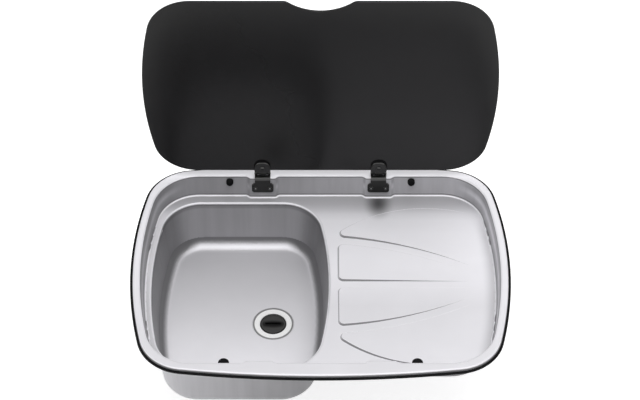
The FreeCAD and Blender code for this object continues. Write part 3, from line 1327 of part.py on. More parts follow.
doc.recompute()
node(sink_pressing(), "sink_pressing")
node(flange_seal(), "flange_seal")
node(glass_lid(), "glass_lid")
for side, x in (("left", f"-{D}hinge_offset"), ("right", f"{D}hinge_offset")):
    node(hinge_base(side, x), f"{side}_hinge_base")
    node(hinge_arm(side, x), f"{side}_hinge_arm")
    node(clamp_plate(side, x), f"{side}_clamp_plate")
    node(lid_pad(side, x, "inner"), f"{side}_inner_pad")
    node(lid_pad(side, x, "outer"), f"{side}_outer_pad")
    node(hinge_pin(side, x), f"{side}_hinge_pin")
    node(hinge_washers(side, x), f"{side}_hinge_washers")
base_screws, base_nuts = hinge_base_fixings()
node(base_screws, "hinge_base_screws")
node(base_nuts, "hinge_base_nuts")
node(lid_clamp_screws(), "lid_clamp_screws")
for piece, label in bumpers():
    node(piece, label)
node(waste_flange(), "waste_flange")
node(waste_upper_seal(), "waste_upper_seal")
node(strainer_grid(), "strainer_grid")
node(waste_lower_seal(), "waste_lower_seal")
node(waste_body(), "waste_body")
node(waste_screw(), "waste_screw")
stopper, cap = plug()
node(stopper, "plug_stopper")
node(cap, "plug_cap")
doc.recompute()

broken = [item.Name for item in doc.Objects if "Invalid" in item.State or "Error" in item.State]
if broken:
    raise RuntimeError(f"features that did not build: {broken}")
for piece in NODES:
    shape = piece.Shape
    if shape.isNull() or not shape.isValid() or not shape.Solids:
        raise RuntimeError(f"{piece.Label} has no valid solid")

os.makedirs("parts", exist_ok=True)
for piece in NODES:
    piece.Shape.exportStep(f"parts/{piece.Label}.step")
    print(f"{piece.Label}: {len(piece.Shape.Solids)} solids, {piece.Shape.Volume / 1000:.2f} cm3")
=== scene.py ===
import json
import math

import bpy
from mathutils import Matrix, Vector


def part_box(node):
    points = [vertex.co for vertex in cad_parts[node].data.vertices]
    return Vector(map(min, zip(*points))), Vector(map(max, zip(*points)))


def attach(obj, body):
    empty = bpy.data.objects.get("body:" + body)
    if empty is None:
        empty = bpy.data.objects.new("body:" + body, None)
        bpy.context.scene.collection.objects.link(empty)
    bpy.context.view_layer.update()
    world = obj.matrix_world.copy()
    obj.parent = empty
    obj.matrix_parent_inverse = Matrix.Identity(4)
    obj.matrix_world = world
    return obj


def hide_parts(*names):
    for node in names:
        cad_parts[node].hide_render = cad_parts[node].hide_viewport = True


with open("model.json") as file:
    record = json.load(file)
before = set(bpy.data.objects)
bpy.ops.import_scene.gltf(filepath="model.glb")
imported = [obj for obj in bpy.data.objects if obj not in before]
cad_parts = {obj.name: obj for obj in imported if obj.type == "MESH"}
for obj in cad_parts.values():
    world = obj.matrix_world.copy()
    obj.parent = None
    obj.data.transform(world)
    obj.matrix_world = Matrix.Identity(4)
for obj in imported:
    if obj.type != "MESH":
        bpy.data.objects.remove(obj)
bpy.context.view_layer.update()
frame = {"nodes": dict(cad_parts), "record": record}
scene = bpy.context.scene
nodes = frame["nodes"]


def middle(node):
    low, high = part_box(node)
    return [(a + b) / 2 for a, b in zip(low, high)]


def half_width(node):
    low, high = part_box(node)
    return (high[0] - low[0]) / 2


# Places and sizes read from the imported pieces. Metres.
SINK_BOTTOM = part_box("waste_body")[0][2]
WASTE = middle("waste_flange")[:2]
RING_RADIUS = half_width("waste_flange")
PLUG_RADIUS = half_width("plug_stopper")
HINGE_X = middle("right_hinge_base")[0]
GLASS_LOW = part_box("glass_lid")[0][2]

# Sizes inside the pressing, as in the CAD. Metres. The recess wall leans in over its height.
RECESS_FLOOR = -0.034
FOOT_RADIUS = 0.004
WALL_HEIGHT = 0.041
WALL_DRAFT = 0.0045
WALL_LEAN = math.atan(WALL_DRAFT / WALL_HEIGHT)


# ---------------------------------------------------------------- node helpers

# Nearly all values of a noise lie between these.
NOISE_LIMITS = (0.3, 0.7)
RELIEF_DEPTH = 0.0001
BLACK = (0, 0, 0)
WHITE = (1.0, 1.0, 1.0)


def new_material(name):
    material = bpy.data.materials.new(name)
    material.use_nodes = True
    tree = material.node_tree
    return material, tree, tree.nodes["Principled BSDF"]


def new_object(name, data):
    made = bpy.data.objects.new(name, data)
    scene.collection.objects.link(made)
    return made


def add(tree, kind, **values):
    """A node with its sockets or settings filled in by name."""
    made = tree.nodes.new(kind)
    for key, value in values.items():
        socket = made.inputs.get(key.replace("_", " "))
        if socket is None:
            setattr(made, key, value)
        else:
            socket.default_value = value
    return made


def fill(tree, sockets, values):
    """Gives each socket its number or the link it takes."""
    for socket, value in zip(sockets, values):
        if isinstance(value, (int, float)):
            socket.default_value = value
        else:
            tree.links.new(value, socket)


def maths(tree, operation, *values, clamp=False):
    made = tree.nodes.new("ShaderNodeMath")
    made.operation = operation
    made.use_clamp = clamp
    fill(tree, made.inputs, values)
    return made.outputs[0]


def product(tree, first, *others):
    for other in others:
        first = maths(tree, "MULTIPLY", first, other)
    return first


def without_sign(tree, value):
    return maths(tree, "ABSOLUTE", value)


def opposite(tree, value):
    """1 where the value is 0, and 0 where it is 1."""
    return maths(tree, "SUBTRACT", 1, value)


def between(tree, factor, first, second):
    """Goes from one number to another."""
    made = add(tree, "ShaderNodeMix", data_type="FLOAT")
    fill(tree, [s for s in made.inputs if s.type == "VALUE"], (factor, first, second))
    return next(s for s in made.outputs if s.type == "VALUE")


def ranged(tree, value, limits, results=(0.0, 1.0), smooth=False):
    """Goes from one result to the other between two limits of a value, and stays there past them."""
    made = add(tree, "ShaderNodeMapRange")
    if smooth:
        made.interpolation_type = "SMOOTHSTEP"
    tree.links.new(value, made.inputs["Value"])
    for name, number in zip(("From Min", "From Max", "To Min", "To Max"), (*limits, *results)):
        made.inputs[name].default_value = number
    return made.outputs["Result"]


def window(tree, value, one_side, other_side):
    """1 inside a stretch of a value, with limits for each side of it."""
    return product(tree, ranged(tree, value, one_side), ranged(tree, value, other_side))


def curve(tree, value, stops):
    """A tone that follows a value through a list of (value, tone)."""
    made = add(tree, "ShaderNodeValToRGB")
    ramp = made.color_ramp
    for i, (position, tone) in enumerate(stops):
        stop = ramp.elements[i] if i < 2 else ramp.elements.new(position)
        stop.position = position
        stop.color = (tone, tone, tone, 1)
    tree.links.new(value, made.inputs["Fac"])
    return made.outputs["Color"]


def parts_of(tree, output):
    """X, Y and Z of one of the texture coordinates."""
    place = add(tree, "ShaderNodeTexCoord")
    split = add(tree, "ShaderNodeSeparateXYZ")
    tree.links.new(place.outputs[output], split.inputs["Vector"])
    return list(split.outputs)


def distance(tree, x, y, centre, reach=(1, 1)):
    """Distance in plan from a centre, with each direction measured in its own reach."""
    across = maths(tree, "DIVIDE", maths(tree, "SUBTRACT", x, centre[0]), reach[0])
    along = maths(tree, "DIVIDE", maths(tree, "SUBTRACT", y, centre[1]), reach[1])
    squares = maths(tree, "ADD", product(tree, across, across), product(tree, along, along))
    return maths(tree, "SQRT", squares)


def sharpness(tree, reach):
    """Over 0 on faces that lie within reach of an edge."""
    rounded = add(tree, "ShaderNodeBevel", Radius=reach, samples=6)
    true = tree.nodes.new("ShaderNodeNewGeometry")
    both = add(tree, "ShaderNodeVectorMath", operation="DOT_PRODUCT")
    tree.links.new(rounded.outputs["Normal"], both.inputs[0])
    tree.links.new(true.outputs["True Normal"], both.inputs[1])
    return opposite(tree, both.outputs["Value"])


def grain(tree, scale, stretch=(1, 1, 1), detail=3.0):
    """Noise in the piece's own space, stretched along its axes."""
    place = add(tree, "ShaderNodeTexCoord")
    mapping = add(tree, "ShaderNodeMapping", Scale=stretch)
    noise = add(tree, "ShaderNodeTexNoise", Scale=scale, Detail=detail, Roughness=0.6)
    tree.links.new(place.outputs["Object"], mapping.inputs["Vector"])
    tree.links.new(mapping.outputs["Vector"], noise.inputs["Vector"])
    return noise.outputs["Fac"]


def varied(tree, noise, results=(0.0, 1.0)):
    """Spreads a noise over a range."""
    return ranged(tree, noise, NOISE_LIMITS, results)


def blend_colours(tree, factor, dark, light):
    """Goes from one colour to another. A colour is a triple or another node's socket."""
    mix = add(tree, "ShaderNodeMix", data_type="RGBA")
    sockets = [s for s in mix.inputs if s.type == "RGBA"]
    for socket, colour in zip(sockets, (dark, light)):
        if isinstance(colour, tuple):
            socket.default_value = (*colour, 1)
        else:
            tree.links.new(colour, socket)
    tree.links.new(factor, mix.inputs[0])
    return next(s for s in mix.outputs if s.type == "RGBA")


def relief(tree, shader, height, strength):
    made = add(tree, "ShaderNodeBump", Strength=strength, Distance=RELIEF_DEPTH)
    tree.links.new(height, made.inputs["Height"])
    tree.links.new(made.outputs["Normal"], shader.inputs["Normal"])


def dress(tree, shader, colour, fine, rough, metallic=0.0, specular=0.5, depth=0.0):
    """Gives a surface its colour and gloss, and a fine grain in roughness and relief."""
    tree.links.new(colour, shader.inputs["Base Color"])
    tree.links.new(varied(tree, fine, rough), shader.inputs["Roughness"])
    shader.inputs["Metallic"].default_value = metallic
    shader.inputs["Specular IOR Level"].default_value = specular
    if depth:
        relief(tree, shader, fine, depth)


# ---------------------------------------------------------------- steel

# Tone over how far a surface lies level: a drawn wall at 0, a flat at 1. It is a painted highlight where a
# bend runs out into the flat, and painted shade where it runs into the wall.
PAINTED_BEND_LIGHT = (
    (0, 0.21), (0.38, 0.22), (0.5, 0.33), (0.62, 0.57), (0.74, 0.95), (0.86, 1.0), (0.94, 0.85), (1.0, 0.76),
)
# A weaker painted highlight, for the bends at the foot of the bowl's sides.
PAINTED_SIDE_BEND_LIGHT = ((0, 0.19), (0.4, 0.18), (0.7, 0.18), (0.8, 0.28), (0.9, 0.52), (0.96, 0.74), (1.0, 0.76))

# Tone of the recess floor from 50 mm before the middle to 190 mm behind it, with painted shade and a painted
# reflection of the lid at the back.
LID_SHADE_AND_REFLECTION_Y = (-0.05, 0.19)
LID_SHADE_AND_REFLECTION = (
    (0, 0.79), (0.208, 0.92), (0.417, 1.0), (0.64, 1.0), (0.77, 0.93), (0.83, 0.80), (0.88, 0.60),
    (0.92, 0.49), (0.96, 0.43), (1.0, 0.41),
)

# Painted reflections: bands that the side walls of the recess show from their foot up to the rim.
WALL_REFLECTIONS_Z = (RECESS_FLOOR, 0)
WALL_REFLECTIONS = ((0, 0.80), (0.2, 0.73), (0.42, 0.94), (0.6, 1.38), (0.75, 1.16), (0.9, 0.75), (1.0, 0.75))

# Regions of the pressing. A pair gives the place where a region starts, then where it is full.
PANELS_LEFT_X = (0.011, 0.012)
PANELS_RIGHT_X = (0.250, 0.245)
PANELS_MIDDLE_Y = -0.003
PANELS_FROM_MIDDLE = (0.171, 0.169)
PANELS_Z = (RECESS_FLOOR - 0.001, RECESS_FLOOR - 0.0005)
FOOT_LOW_Z = (RECESS_FLOOR - 0.0001, RECESS_FLOOR)
FOOT_HIGH_Z = (-0.019, -0.021)
RECESS_WALL_Z = (RECESS_FLOOR, RECESS_FLOOR + 0.001)
BOWL_Z = (RECESS_FLOOR - 0.002, RECESS_FLOOR - 0.005)
LOW_BOWL_Z = (-0.095, -0.105)
RIM_Z = (0.001, 0.003)
UNDER_RIM_Z = (0.001, -0.001)

# How a surface faces, read in the same way. Level is 1 on a flat, aside is 1 on a side wall.
UPRIGHT_LEVEL = (0.17, 0.12)
FLAT_LEVEL = (0.94, 0.99)
PANEL_SIDE_LEVEL = (0.97, 0.9)
SIDE_WALL_ASIDE = (0.3, 0.85)
SIDE_BEND_ASIDE = (0.1, 0.4)
OUTSIDE_OUTWARD = (0.01, 0.03)

# The level that the bend at the foot of the recess wall reaches at its top.
FOOT_TOP_LEVEL = 0.08

# Walls, painted in shade darker than the flats. Those of the recess are painted paler from left to right, as
# the light falls.
RECESS_WALL_X = (-0.2, 0.1)
RECESS_WALL_SHADE_TONES = (0.43, 0.60)
BOWL_WALL_SHADE = 0.47
BOWL_SIDE_WALL_SHADE = 0.23

# The recess floor is shaded beside the side walls, and more deeply below the right hinge. The side
# walls draw in by SIDE_BULGE times the square of y. The shade beside them ends towards the back.
SIDE_BULGE = 0.8
SIDE_SHADE_X = (0.258, 0.280)
SIDE_SHADE_TONES = (1.0, 0.74)
SIDE_SHADE_END_Y = (0.10, 0.15)
HINGE_SHADE_PLACE = (HINGE_X, 0.173)
HINGE_SHADE_REACH = (0.028, 0.044)
HINGE_SHADE_TONES = (0.20, 1.0)

# The bowl's floor has painted shade, darkest at the back, and a thin line of painted shade round the ring.
BOWL_FLOOR_Y = (0.13, -0.16)
BOWL_FLOOR_SHADE_TONES = (0.60, 1.02)
RING_LINE_RADIUS = RING_RADIUS + 0.0010
RING_LINE_WIDTH = (0.0005, 0.0012)
RING_SHADE_LINE_TONES = (0.8, 1.0)

# The rim, from front to back: a painted reflection, palest at the back.
RIM_Y = (-0.2, 0.13)
RIM_REFLECTION_TONES = (0.74, 1.0)

# A line of painted shade where the bowl's mouth turns into its walls.
MOUTH_SHADE_TOP_Z = (-0.0375, -0.0395)
MOUTH_SHADE_FOOT_Z = (-0.0465, -0.0415)
MOUTH_SHADE_TONES = (1.0, 0.72)

# The drainer panels have a painted highlight along their edges, and painted shade on their sides, darkest
# where they face the front.
EDGE_HIGHLIGHT_REACH = 0.0016
EDGE_HIGHLIGHT_SHARPNESS = (0.01, 0.04)
PANEL_SIDE_NY = (-0.6, -0.15)
PANEL_SIDE_SHADE_TONES = (0.24, 0.56)

# The outside of the pressing, from left to right, in painted shade that deepens to the right.
SHELL_X = (-0.24, 0.05)
SHELL_SHADE_TONES = (0.86, 0.28)

# Grain of the satin: scale, stretch and detail. Streaks run up the walls, and the fine grain along X.
STREAK_GRAIN = (55, (1, 1, 0.03), 4.0)
STREAK_TONES = (0.93, 1.07)
SATIN_GRAIN = (260, (1, 14, 14))
STEEL_CLOUD_SCALE = 9
STEEL_CLOUD_TONES = (0.975, 1.025)
STEEL_TINT = (0.968, 0.958, 1.0)


class PressingPoint:
    """Where a point of the pressing lies, how it faces, and the regions that it is in."""

    def __init__(self, tree):
        self.x, self.y, self.z = parts_of(tree, "Object")
        self.nx, self.ny, nz = parts_of(tree, "Normal")
        self.aside = without_sign(tree, self.nx)
        self.on_side_wall = ranged(tree, self.aside, SIDE_WALL_ASIDE, smooth=True)
        self.in_bowl = ranged(tree, self.z, BOWL_Z)
        self.streaks = varied(tree, grain(tree, *STREAK_GRAIN), STREAK_TONES)

        from_middle = without_sign(tree, maths(tree, "SUBTRACT", self.y, PANELS_MIDDLE_Y))
        panels = window(tree, self.x, PANELS_LEFT_X, PANELS_RIGHT_X)
        panels = product(tree, panels, ranged(tree, from_middle, PANELS_FROM_MIDDLE))
        self.on_panels = product(tree, panels, ranged(tree, self.z, PANELS_Z))

        # The bend at the foot of the recess wall goes by height, which is smoother than by direction.
        foot = product(tree, window(tree, self.z, FOOT_LOW_Z, FOOT_HIGH_Z), opposite(tree, self.on_panels))
        foot_z = (RECESS_FLOOR, RECESS_FLOOR + FOOT_RADIUS)
        foot_level = ranged(tree, self.z, foot_z, (1.0, FOOT_TOP_LEVEL))
        self.level = between(tree, foot, without_sign(tree, nz), foot_level)


# Painted shade on the walls, with painted reflection bands on the side walls of the recess.
def wall_shade_and_reflections(tree, at):
    recess_wall = ranged(tree, at.x, RECESS_WALL_X, RECESS_WALL_SHADE_TONES)
    wall = between(tree, at.in_bowl, recess_wall, BOWL_WALL_SHADE)
    wall = between(tree, product(tree, at.on_side_wall, at.in_bowl), wall, BOWL_SIDE_WALL_SHADE)
    on_reflecting_wall = product(tree, at.on_side_wall, ranged(tree, at.z, RECESS_WALL_Z))
    wall_reflections = between(tree, on_reflecting_wall, 1.0, curve(tree, ranged(tree, at.z, WALL_REFLECTIONS_Z), WALL_REFLECTIONS))
    return product(tree, wall, at.streaks, wall_reflections)


def painted_bend_light(tree, at):
    """The painted highlights on the bends at the foot of the bowl's sides are weaker than on the others."""
    weak_highlight = product(tree, ranged(tree, at.aside, SIDE_BEND_ASIDE), ranged(tree, at.z, LOW_BOWL_Z))
    return between(tree, weak_highlight, curve(tree, at.level, PAINTED_BEND_LIGHT), curve(tree, at.level, PAINTED_SIDE_BEND_LIGHT))


# Painted shade and reflection on the recess floor: from the lid, beside the side walls and below the right
# hinge.
def recess_floor_shade(tree, at):
    tone = curve(tree, ranged(tree, at.y, LID_SHADE_AND_REFLECTION_Y), LID_SHADE_AND_REFLECTION)
    beside = maths(tree, "ADD", without_sign(tree, at.x), product(tree, at.y, at.y, SIDE_BULGE))
    side_shade = ranged(tree, beside, SIDE_SHADE_X, SIDE_SHADE_TONES, smooth=True)
    side_shade = between(tree, ranged(tree, at.y, SIDE_SHADE_END_Y), side_shade, 1.0)
    from_hinge = distance(tree, at.x, at.y, HINGE_SHADE_PLACE, HINGE_SHADE_REACH)
    hinge_shade = ranged(tree, from_hinge, (0.0, 1.0), HINGE_SHADE_TONES, smooth=True)
    return product(tree, tone, side_shade, hinge_shade)


def bowl_floor_shade(tree, at):
    tone = ranged(tree, at.y, BOWL_FLOOR_Y, BOWL_FLOOR_SHADE_TONES)
    radius = distance(tree, at.x, at.y, WASTE)
    from_line = without_sign(tree, maths(tree, "SUBTRACT", radius, RING_LINE_RADIUS))
    return product(tree, tone, ranged(tree, from_line, RING_LINE_WIDTH, RING_SHADE_LINE_TONES))


def flat_tone(tree, at):
    flat = between(tree, at.in_bowl, recess_floor_shade(tree, at), bowl_floor_shade(tree, at))
    return between(tree, ranged(tree, at.z, RIM_Z), flat, ranged(tree, at.y, RIM_Y, RIM_REFLECTION_TONES))


def with_mouth_shade(tree, at, tone):
    line = window(tree, at.z, MOUTH_SHADE_TOP_Z, MOUTH_SHADE_FOOT_Z)
    return product(tree, tone, ranged(tree, line, (0, 1), MOUTH_SHADE_TONES))


def with_panel_light_and_shade(tree, at, tone):
    edge_highlight = product(tree, at.on_panels, ranged(tree, sharpness(tree, EDGE_HIGHLIGHT_REACH), EDGE_HIGHLIGHT_SHARPNESS))
    tone = between(tree, edge_highlight, tone, 1.0)
    steep = product(tree, at.on_panels, ranged(tree, at.level, PANEL_SIDE_LEVEL))
    return between(tree, steep, tone, ranged(tree, at.ny, PANEL_SIDE_NY, PANEL_SIDE_SHADE_TONES))


def with_outside(tree, at, tone):
    """A face that looks away from the waste is on the outside of the sheet."""
    outward = product(tree, at.nx, maths(tree, "SUBTRACT", at.x, WASTE[0]))
    outward = maths(tree, "ADD", outward, product(tree, at.ny, at.y))
    outside = product(tree, ranged(tree, outward, OUTSIDE_OUTWARD), ranged(tree, at.z, UNDER_RIM_Z))
    outside = product(tree, outside, opposite(tree, at.on_panels))
    shell_shade = product(tree, ranged(tree, at.x, SHELL_X, SHELL_SHADE_TONES), at.streaks)
    return between(tree, outside, tone, shell_shade)


def satin_steel():
    """Fine satin sheet whose tone follows the shape of the pressing, painted with light and shade:
    highlights on bends and edges, shade on walls and in hollows, and painted reflections.
    """
    material, tree, shader = new_material("satin_steel")
    at = PressingPoint(tree)
    tone = between(tree, ranged(tree, at.level, UPRIGHT_LEVEL), painted_bend_light(tree, at), wall_shade_and_reflections(tree, at))
    tone = between(tree, ranged(tree, at.level, FLAT_LEVEL), tone, flat_tone(tree, at))
    tone = with_mouth_shade(tree, at, tone)
    tone = with_panel_light_and_shade(tree, at, tone)
    tone = with_outside(tree, at, tone)
    tone = product(tree, tone, varied(tree, grain(tree, STEEL_CLOUD_SCALE), STEEL_CLOUD_TONES))
    colour = blend_colours(tree, tone, BLACK, STEEL_TINT)
    fine = grain(tree, *SATIN_GRAIN)
    dress(tree, shader, colour, fine, rough=(0.34, 0.46), metallic=0.12, depth=0.06)
    return material


# ---------------------------------------------------------------- other finishes

# Painted shade on the ring's rounded outer edge.
RING_GRAIN = 400
RING_EDGE = (RING_RADIUS - 0.0027, RING_RADIUS - 0.0018)
RING_SHADE_TONES = (1.0, 0.27)

PLUG_GRAIN = 1100
PLUG_GRAIN_TONES = (0.85, 1.15)
PLUG_TINT = (1.0, 1.0, 0.98)

# The plug's rubber: grey on the face, black towards the throat.
PLUG_EDGE = (PLUG_RADIUS - 0.0022, PLUG_RADIUS - 0.0014)
RUBBER_TONES = (0.055, 0.010)

# The plug's cap: painted shade round the grip slot, and painted highlights in front of it and behind it.
SLOT_REACH = (0.0125, 0.0042)
SLOT_EDGE = (0.9, 2.4)
CAP_SHADE_AND_HIGHLIGHT_TONES = (0.004, 0.052)

# The glass is painted a little paler from left to right, as light falls on it. Its edge at the bottom is
# deep black.
GLASS_X = (-0.28, 0.28)
GLASS_LIGHT_TONES = (0.0075, 0.0125)
GLASS_EDGE_Z = (GLASS_LOW + 0.0034, GLASS_LOW + 0.0022)
GLASS_EDGE_TONE = 0.001
GLASS_CLOUD_SCALE = 6
GLASS_CLOUD_TONES = (0.95, 1.05)
GLASS_TINT = (1.0, 1.0, 1.03)

# Tone of the lacquer over how far a surface lies level, with painted highlights on the bends, and a painted
# highlight bar on each hinge's knuckle.
LACQUER_HIGHLIGHTS = ((0, 0.007), (0.4, 0.010), (0.62, 0.05), (0.8, 0.17), (0.93, 0.07), (1.0, 0.012))
KNUCKLE_FOOT_Z = (0.003, 0.005)
KNUCKLE_TOP_Z = (0.0095, 0.0075)
KNUCKLE_NY = (-0.3, -0.6)
KNUCKLE_HIGHLIGHT = 0.12
LACQUER_GRAIN = 1400
LACQUER_GRAIN_TONES = (0.8, 1.2)
LACQUER_TINT = (1.0, 1.0, 0.97)

# Soft patches in the plain finishes.
PATCH_SCALE = 14


def ring_steel():
    """Polished ring whose rounded outer edge is painted dark, as shade."""
    material, tree, shader = new_material("ring_steel")
    x, y, _ = parts_of(tree, "Object")
    tone = ranged(tree, distance(tree, x, y, WASTE), RING_EDGE, RING_SHADE_TONES)
    colour = blend_colours(tree, tone, BLACK, WHITE)
    dress(tree, shader, colour, grain(tree, RING_GRAIN), rough=(0.26, 0.34), metallic=0.1)
    return material


def plug_finish(name, tone_of):
    """Dull black rubber or plastic whose tone goes by the place on the plug."""
    material, tree, shader = new_material(name)
    x, y, _ = parts_of(tree, "Object")
    fine = grain(tree, PLUG_GRAIN)
    tone = product(tree, tone_of(tree, x, y), varied(tree, fine, PLUG_GRAIN_TONES))
    colour = blend_colours(tree, tone, BLACK, PLUG_TINT)
    dress(tree, shader, colour, fine, rough=(0.5, 0.65), specular=0.2, depth=0.12)
    return material


def plug_rubber_tone(tree, x, y):
    return ranged(tree, distance(tree, x, y, WASTE), PLUG_EDGE, RUBBER_TONES)


def plug_cap_tone(tree, x, y):
    return ranged(tree, distance(tree, x, y, WASTE, SLOT_REACH), SLOT_EDGE, CAP_SHADE_AND_HIGHLIGHT_TONES, smooth=True)


def plain_finish(name, dark, light, rough, scale, **gloss):
    """Two close tones in soft patches."""
    material, tree, shader = new_material(name)
    fine = grain(tree, scale)
    colour = blend_colours(tree, varied(tree, grain(tree, PATCH_SCALE)), dark, light)
    dress(tree, shader, colour, fine, rough, **gloss)
    return material


def black_glass():
    """Black sheet with faint clouds in its tone and gloss."""
    material, tree, shader = new_material("black_glass")
    x, _, z = parts_of(tree, "Object")
    cloud = grain(tree, GLASS_CLOUD_SCALE)
    tone = product(tree, ranged(tree, x, GLASS_X, GLASS_LIGHT_TONES), varied(tree, cloud, GLASS_CLOUD_TONES))
    tone = between(tree, ranged(tree, z, GLASS_EDGE_Z), tone, GLASS_EDGE_TONE)
    colour = blend_colours(tree, tone, BLACK, GLASS_TINT)
    dress(tree, shader, colour, cloud, rough=(0.20, 0.24), specular=0.25)
    return material


def black_lacquer():
    """Black paint over bent metal, with painted highlights along the bends."""
    material, tree, shader = new_material("black_lacquer")
    z = parts_of(tree, "Object")[2]
    _, ny, nz = parts_of(tree, "Normal")
    fine = grain(tree, LACQUER_GRAIN)
    tone = curve(tree, without_sign(tree, nz), LACQUER_HIGHLIGHTS)
    knuckle_highlight = window(tree, z, KNUCKLE_FOOT_Z, KNUCKLE_TOP_Z)
    knuckle_highlight = product(tree, knuckle_highlight, ranged(tree, ny, KNUCKLE_NY))
    tone = between(tree, knuckle_highlight, tone, KNUCKLE_HIGHLIGHT)
    tone = product(tree, tone, varied(tree, fine, LACQUER_GRAIN_TONES))
    colour = blend_colours(tree, tone, BLACK, LACQUER_TINT)
    dress(tree, shader, colour, fine, rough=(0.30, 0.42), specular=0.4, depth=0.12)
    return material


# Finishes by the record's material slots.
FINISHES = {
    "steel": satin_steel(),
    "bright_steel": plain_finish(
        "bright_steel", dark=(0.95, 0.95, 0.96), light=WHITE, rough=(0.26, 0.34), scale=400,
        metallic=0.1, depth=0.02,
    ),
    "screw_steel": plain_finish(
        "zinc_plated", dark=(0.42, 0.42, 0.43), light=(0.52, 0.52, 0.52), rough=(0.25, 0.4), scale=900,
        metallic=0.9, depth=0.05,
    ),
    "black_glass": black_glass(),
    "black_metal": black_lacquer(),
    "black_rubber": plain_finish(
        "black_rubber", dark=(0.002, 0.002, 0.0025), light=(0.005, 0.005, 0.0055), rough=(0.6, 0.8),
        scale=1100, specular=0.1, depth=0.2,
    ),
    "black_plastic": plain_finish(
        "black_plastic", dark=(0.012, 0.012, 0.013), light=(0.020, 0.020, 0.021), rough=(0.45, 0.6),
        scale=1200, specular=0.35, depth=0.15,
    ),
}

# Pieces with a finish of their own.
OWN_FINISHES = {
    "plug_stopper": plug_finish("plug_rubber", plug_rubber_tone),
    "plug_cap": plug_finish("plug_plastic", plug_cap_tone),
    "waste_flange": ring_steel(),
}
for entry in frame["record"]["subparts"]:
    name = entry["node"]
    slots = nodes[name].data.materials
    slots.clear()
    slots.append(OWN_FINISHES[name] if name in OWN_FINISHES else FINISHES[entry["material_slot"]])


# ---------------------------------------------------------------- hinge screws, by Geometry Nodes

# The CAD's screw heads, and the shares of their size that the modelled heads have, to stay within them.
HEAD_RADIUS = 0.0037
HEAD_HEIGHT = 0.002
RADIUS_SHARE = 0.98
HEIGHT_SHARE = 0.95
SHANK_RADIUS = 0.0018
SHANK_LENGTH = 0.0078
HEAD_SIDES = 32
HEAD_RINGS = 12
SHANK_SIDES = 24

# Shares of the head's height: its upright edge, the dome on it, and the depth of the drive recess.
EDGE_SHARE = 0.35
DOME_SHARE = 0.6
DRIVE_DEPTH_SHARE = 0.45

# The drive recess's share of the head's radius.
DRIVE_RADIUS_SHARE = 0.36

# Points of a plain head above this height are its top.
TOP_Z = 0.0001


def tree_input(tree, name):
    made = tree.interface.new_socket(name=name, in_out="INPUT", socket_type="NodeSocketFloat")
    return made.identifier


def row_of(tree, count, spacing):
    """A centred row of points along X."""
    line = tree.nodes.new("GeometryNodeMeshLine")
    line.inputs["Count"].default_value = count
    for name, share in (("Start Location", -(count - 1) / 2), ("Offset", 1)):
        place = tree.nodes.new("ShaderNodeCombineXYZ")
        tree.links.new(product(tree, spacing, share), place.inputs["X"])
        tree.links.new(place.outputs[0], line.inputs[name])
    return line.outputs["Mesh"]


def on_points(tree, points, instance):
    made = tree.nodes.new("GeometryNodeInstanceOnPoints")
    tree.links.new(points, made.inputs["Points"])
    tree.links.new(instance, made.inputs["Instance"])
    return made.outputs["Instances"]


def painted(tree, geometry, material, selection=None):
    made = tree.nodes.new("GeometryNodeSetMaterial")
    made.inputs["Material"].default_value = material
    tree.links.new(geometry, made.inputs["Geometry"])
    if selection is not None:
        tree.links.new(selection, made.inputs["Selection"])
    return made.outputs[0]


def head_of(tree, head_radius, head_height, black, bright):
    """A domed head with its underside at Z 0, black but for the round drive recess."""
    disc = tree.nodes.new("GeometryNodeMeshCone")
    disc.inputs["Vertices"].default_value = HEAD_SIDES
    disc.inputs["Fill Segments"].default_value = HEAD_RINGS
    for name in ("Radius Top", "Radius Bottom"):
        tree.links.new(head_radius, disc.inputs[name])
    tree.links.new(product(tree, head_height, EDGE_SHARE), disc.inputs["Depth"])

    place = tree.nodes.new("GeometryNodeInputPosition")
    split = tree.nodes.new("ShaderNodeSeparateXYZ")
    tree.links.new(place.outputs[0], split.inputs[0])
    x, y, z = split.outputs
    radius = maths(tree, "DIVIDE", distance(tree, x, y, (0, 0)), head_radius)
    on_top = maths(tree, "GREATER_THAN", z, TOP_Z)
    in_drive = maths(tree, "LESS_THAN", radius, DRIVE_RADIUS_SHARE)
    dome = product(tree, opposite(tree, product(tree, radius, radius)), head_height, DOME_SHARE)
    drive = product(tree, in_drive, head_height, DRIVE_DEPTH_SHARE)
    rise = tree.nodes.new("ShaderNodeCombineXYZ")
    tree.links.new(product(tree, on_top, maths(tree, "SUBTRACT", dome, drive)), rise.inputs["Z"])
    shaped = tree.nodes.new("GeometryNodeSetPosition")
    tree.links.new(disc.outputs["Mesh"], shaped.inputs["Geometry"])
    tree.links.new(rise.outputs[0], shaped.inputs["Offset"])
    blackened = painted(tree, shaped.outputs["Geometry"], black)
    return painted(tree, blackened, bright, product(tree, in_drive, on_top))


def shank_of(tree, shank_radius, shank_length, bright):
    """A plain shank with its top at Z 0."""
    shank = tree.nodes.new("GeometryNodeMeshCylinder")
    shank.inputs["Vertices"].default_value = SHANK_SIDES
    tree.links.new(shank_radius, shank.inputs["Radius"])
    tree.links.new(shank_length, shank.inputs["Depth"])
    down = tree.nodes.new("ShaderNodeCombineXYZ")
    tree.links.new(product(tree, shank_length, -0.5), down.inputs["Z"])
    lowered = tree.nodes.new("GeometryNodeTransform")
    tree.links.new(shank.outputs["Mesh"], lowered.inputs["Geometry"])
    tree.links.new(down.outputs[0], lowered.inputs["Translation"])
    return painted(tree, lowered.outputs["Geometry"], bright)


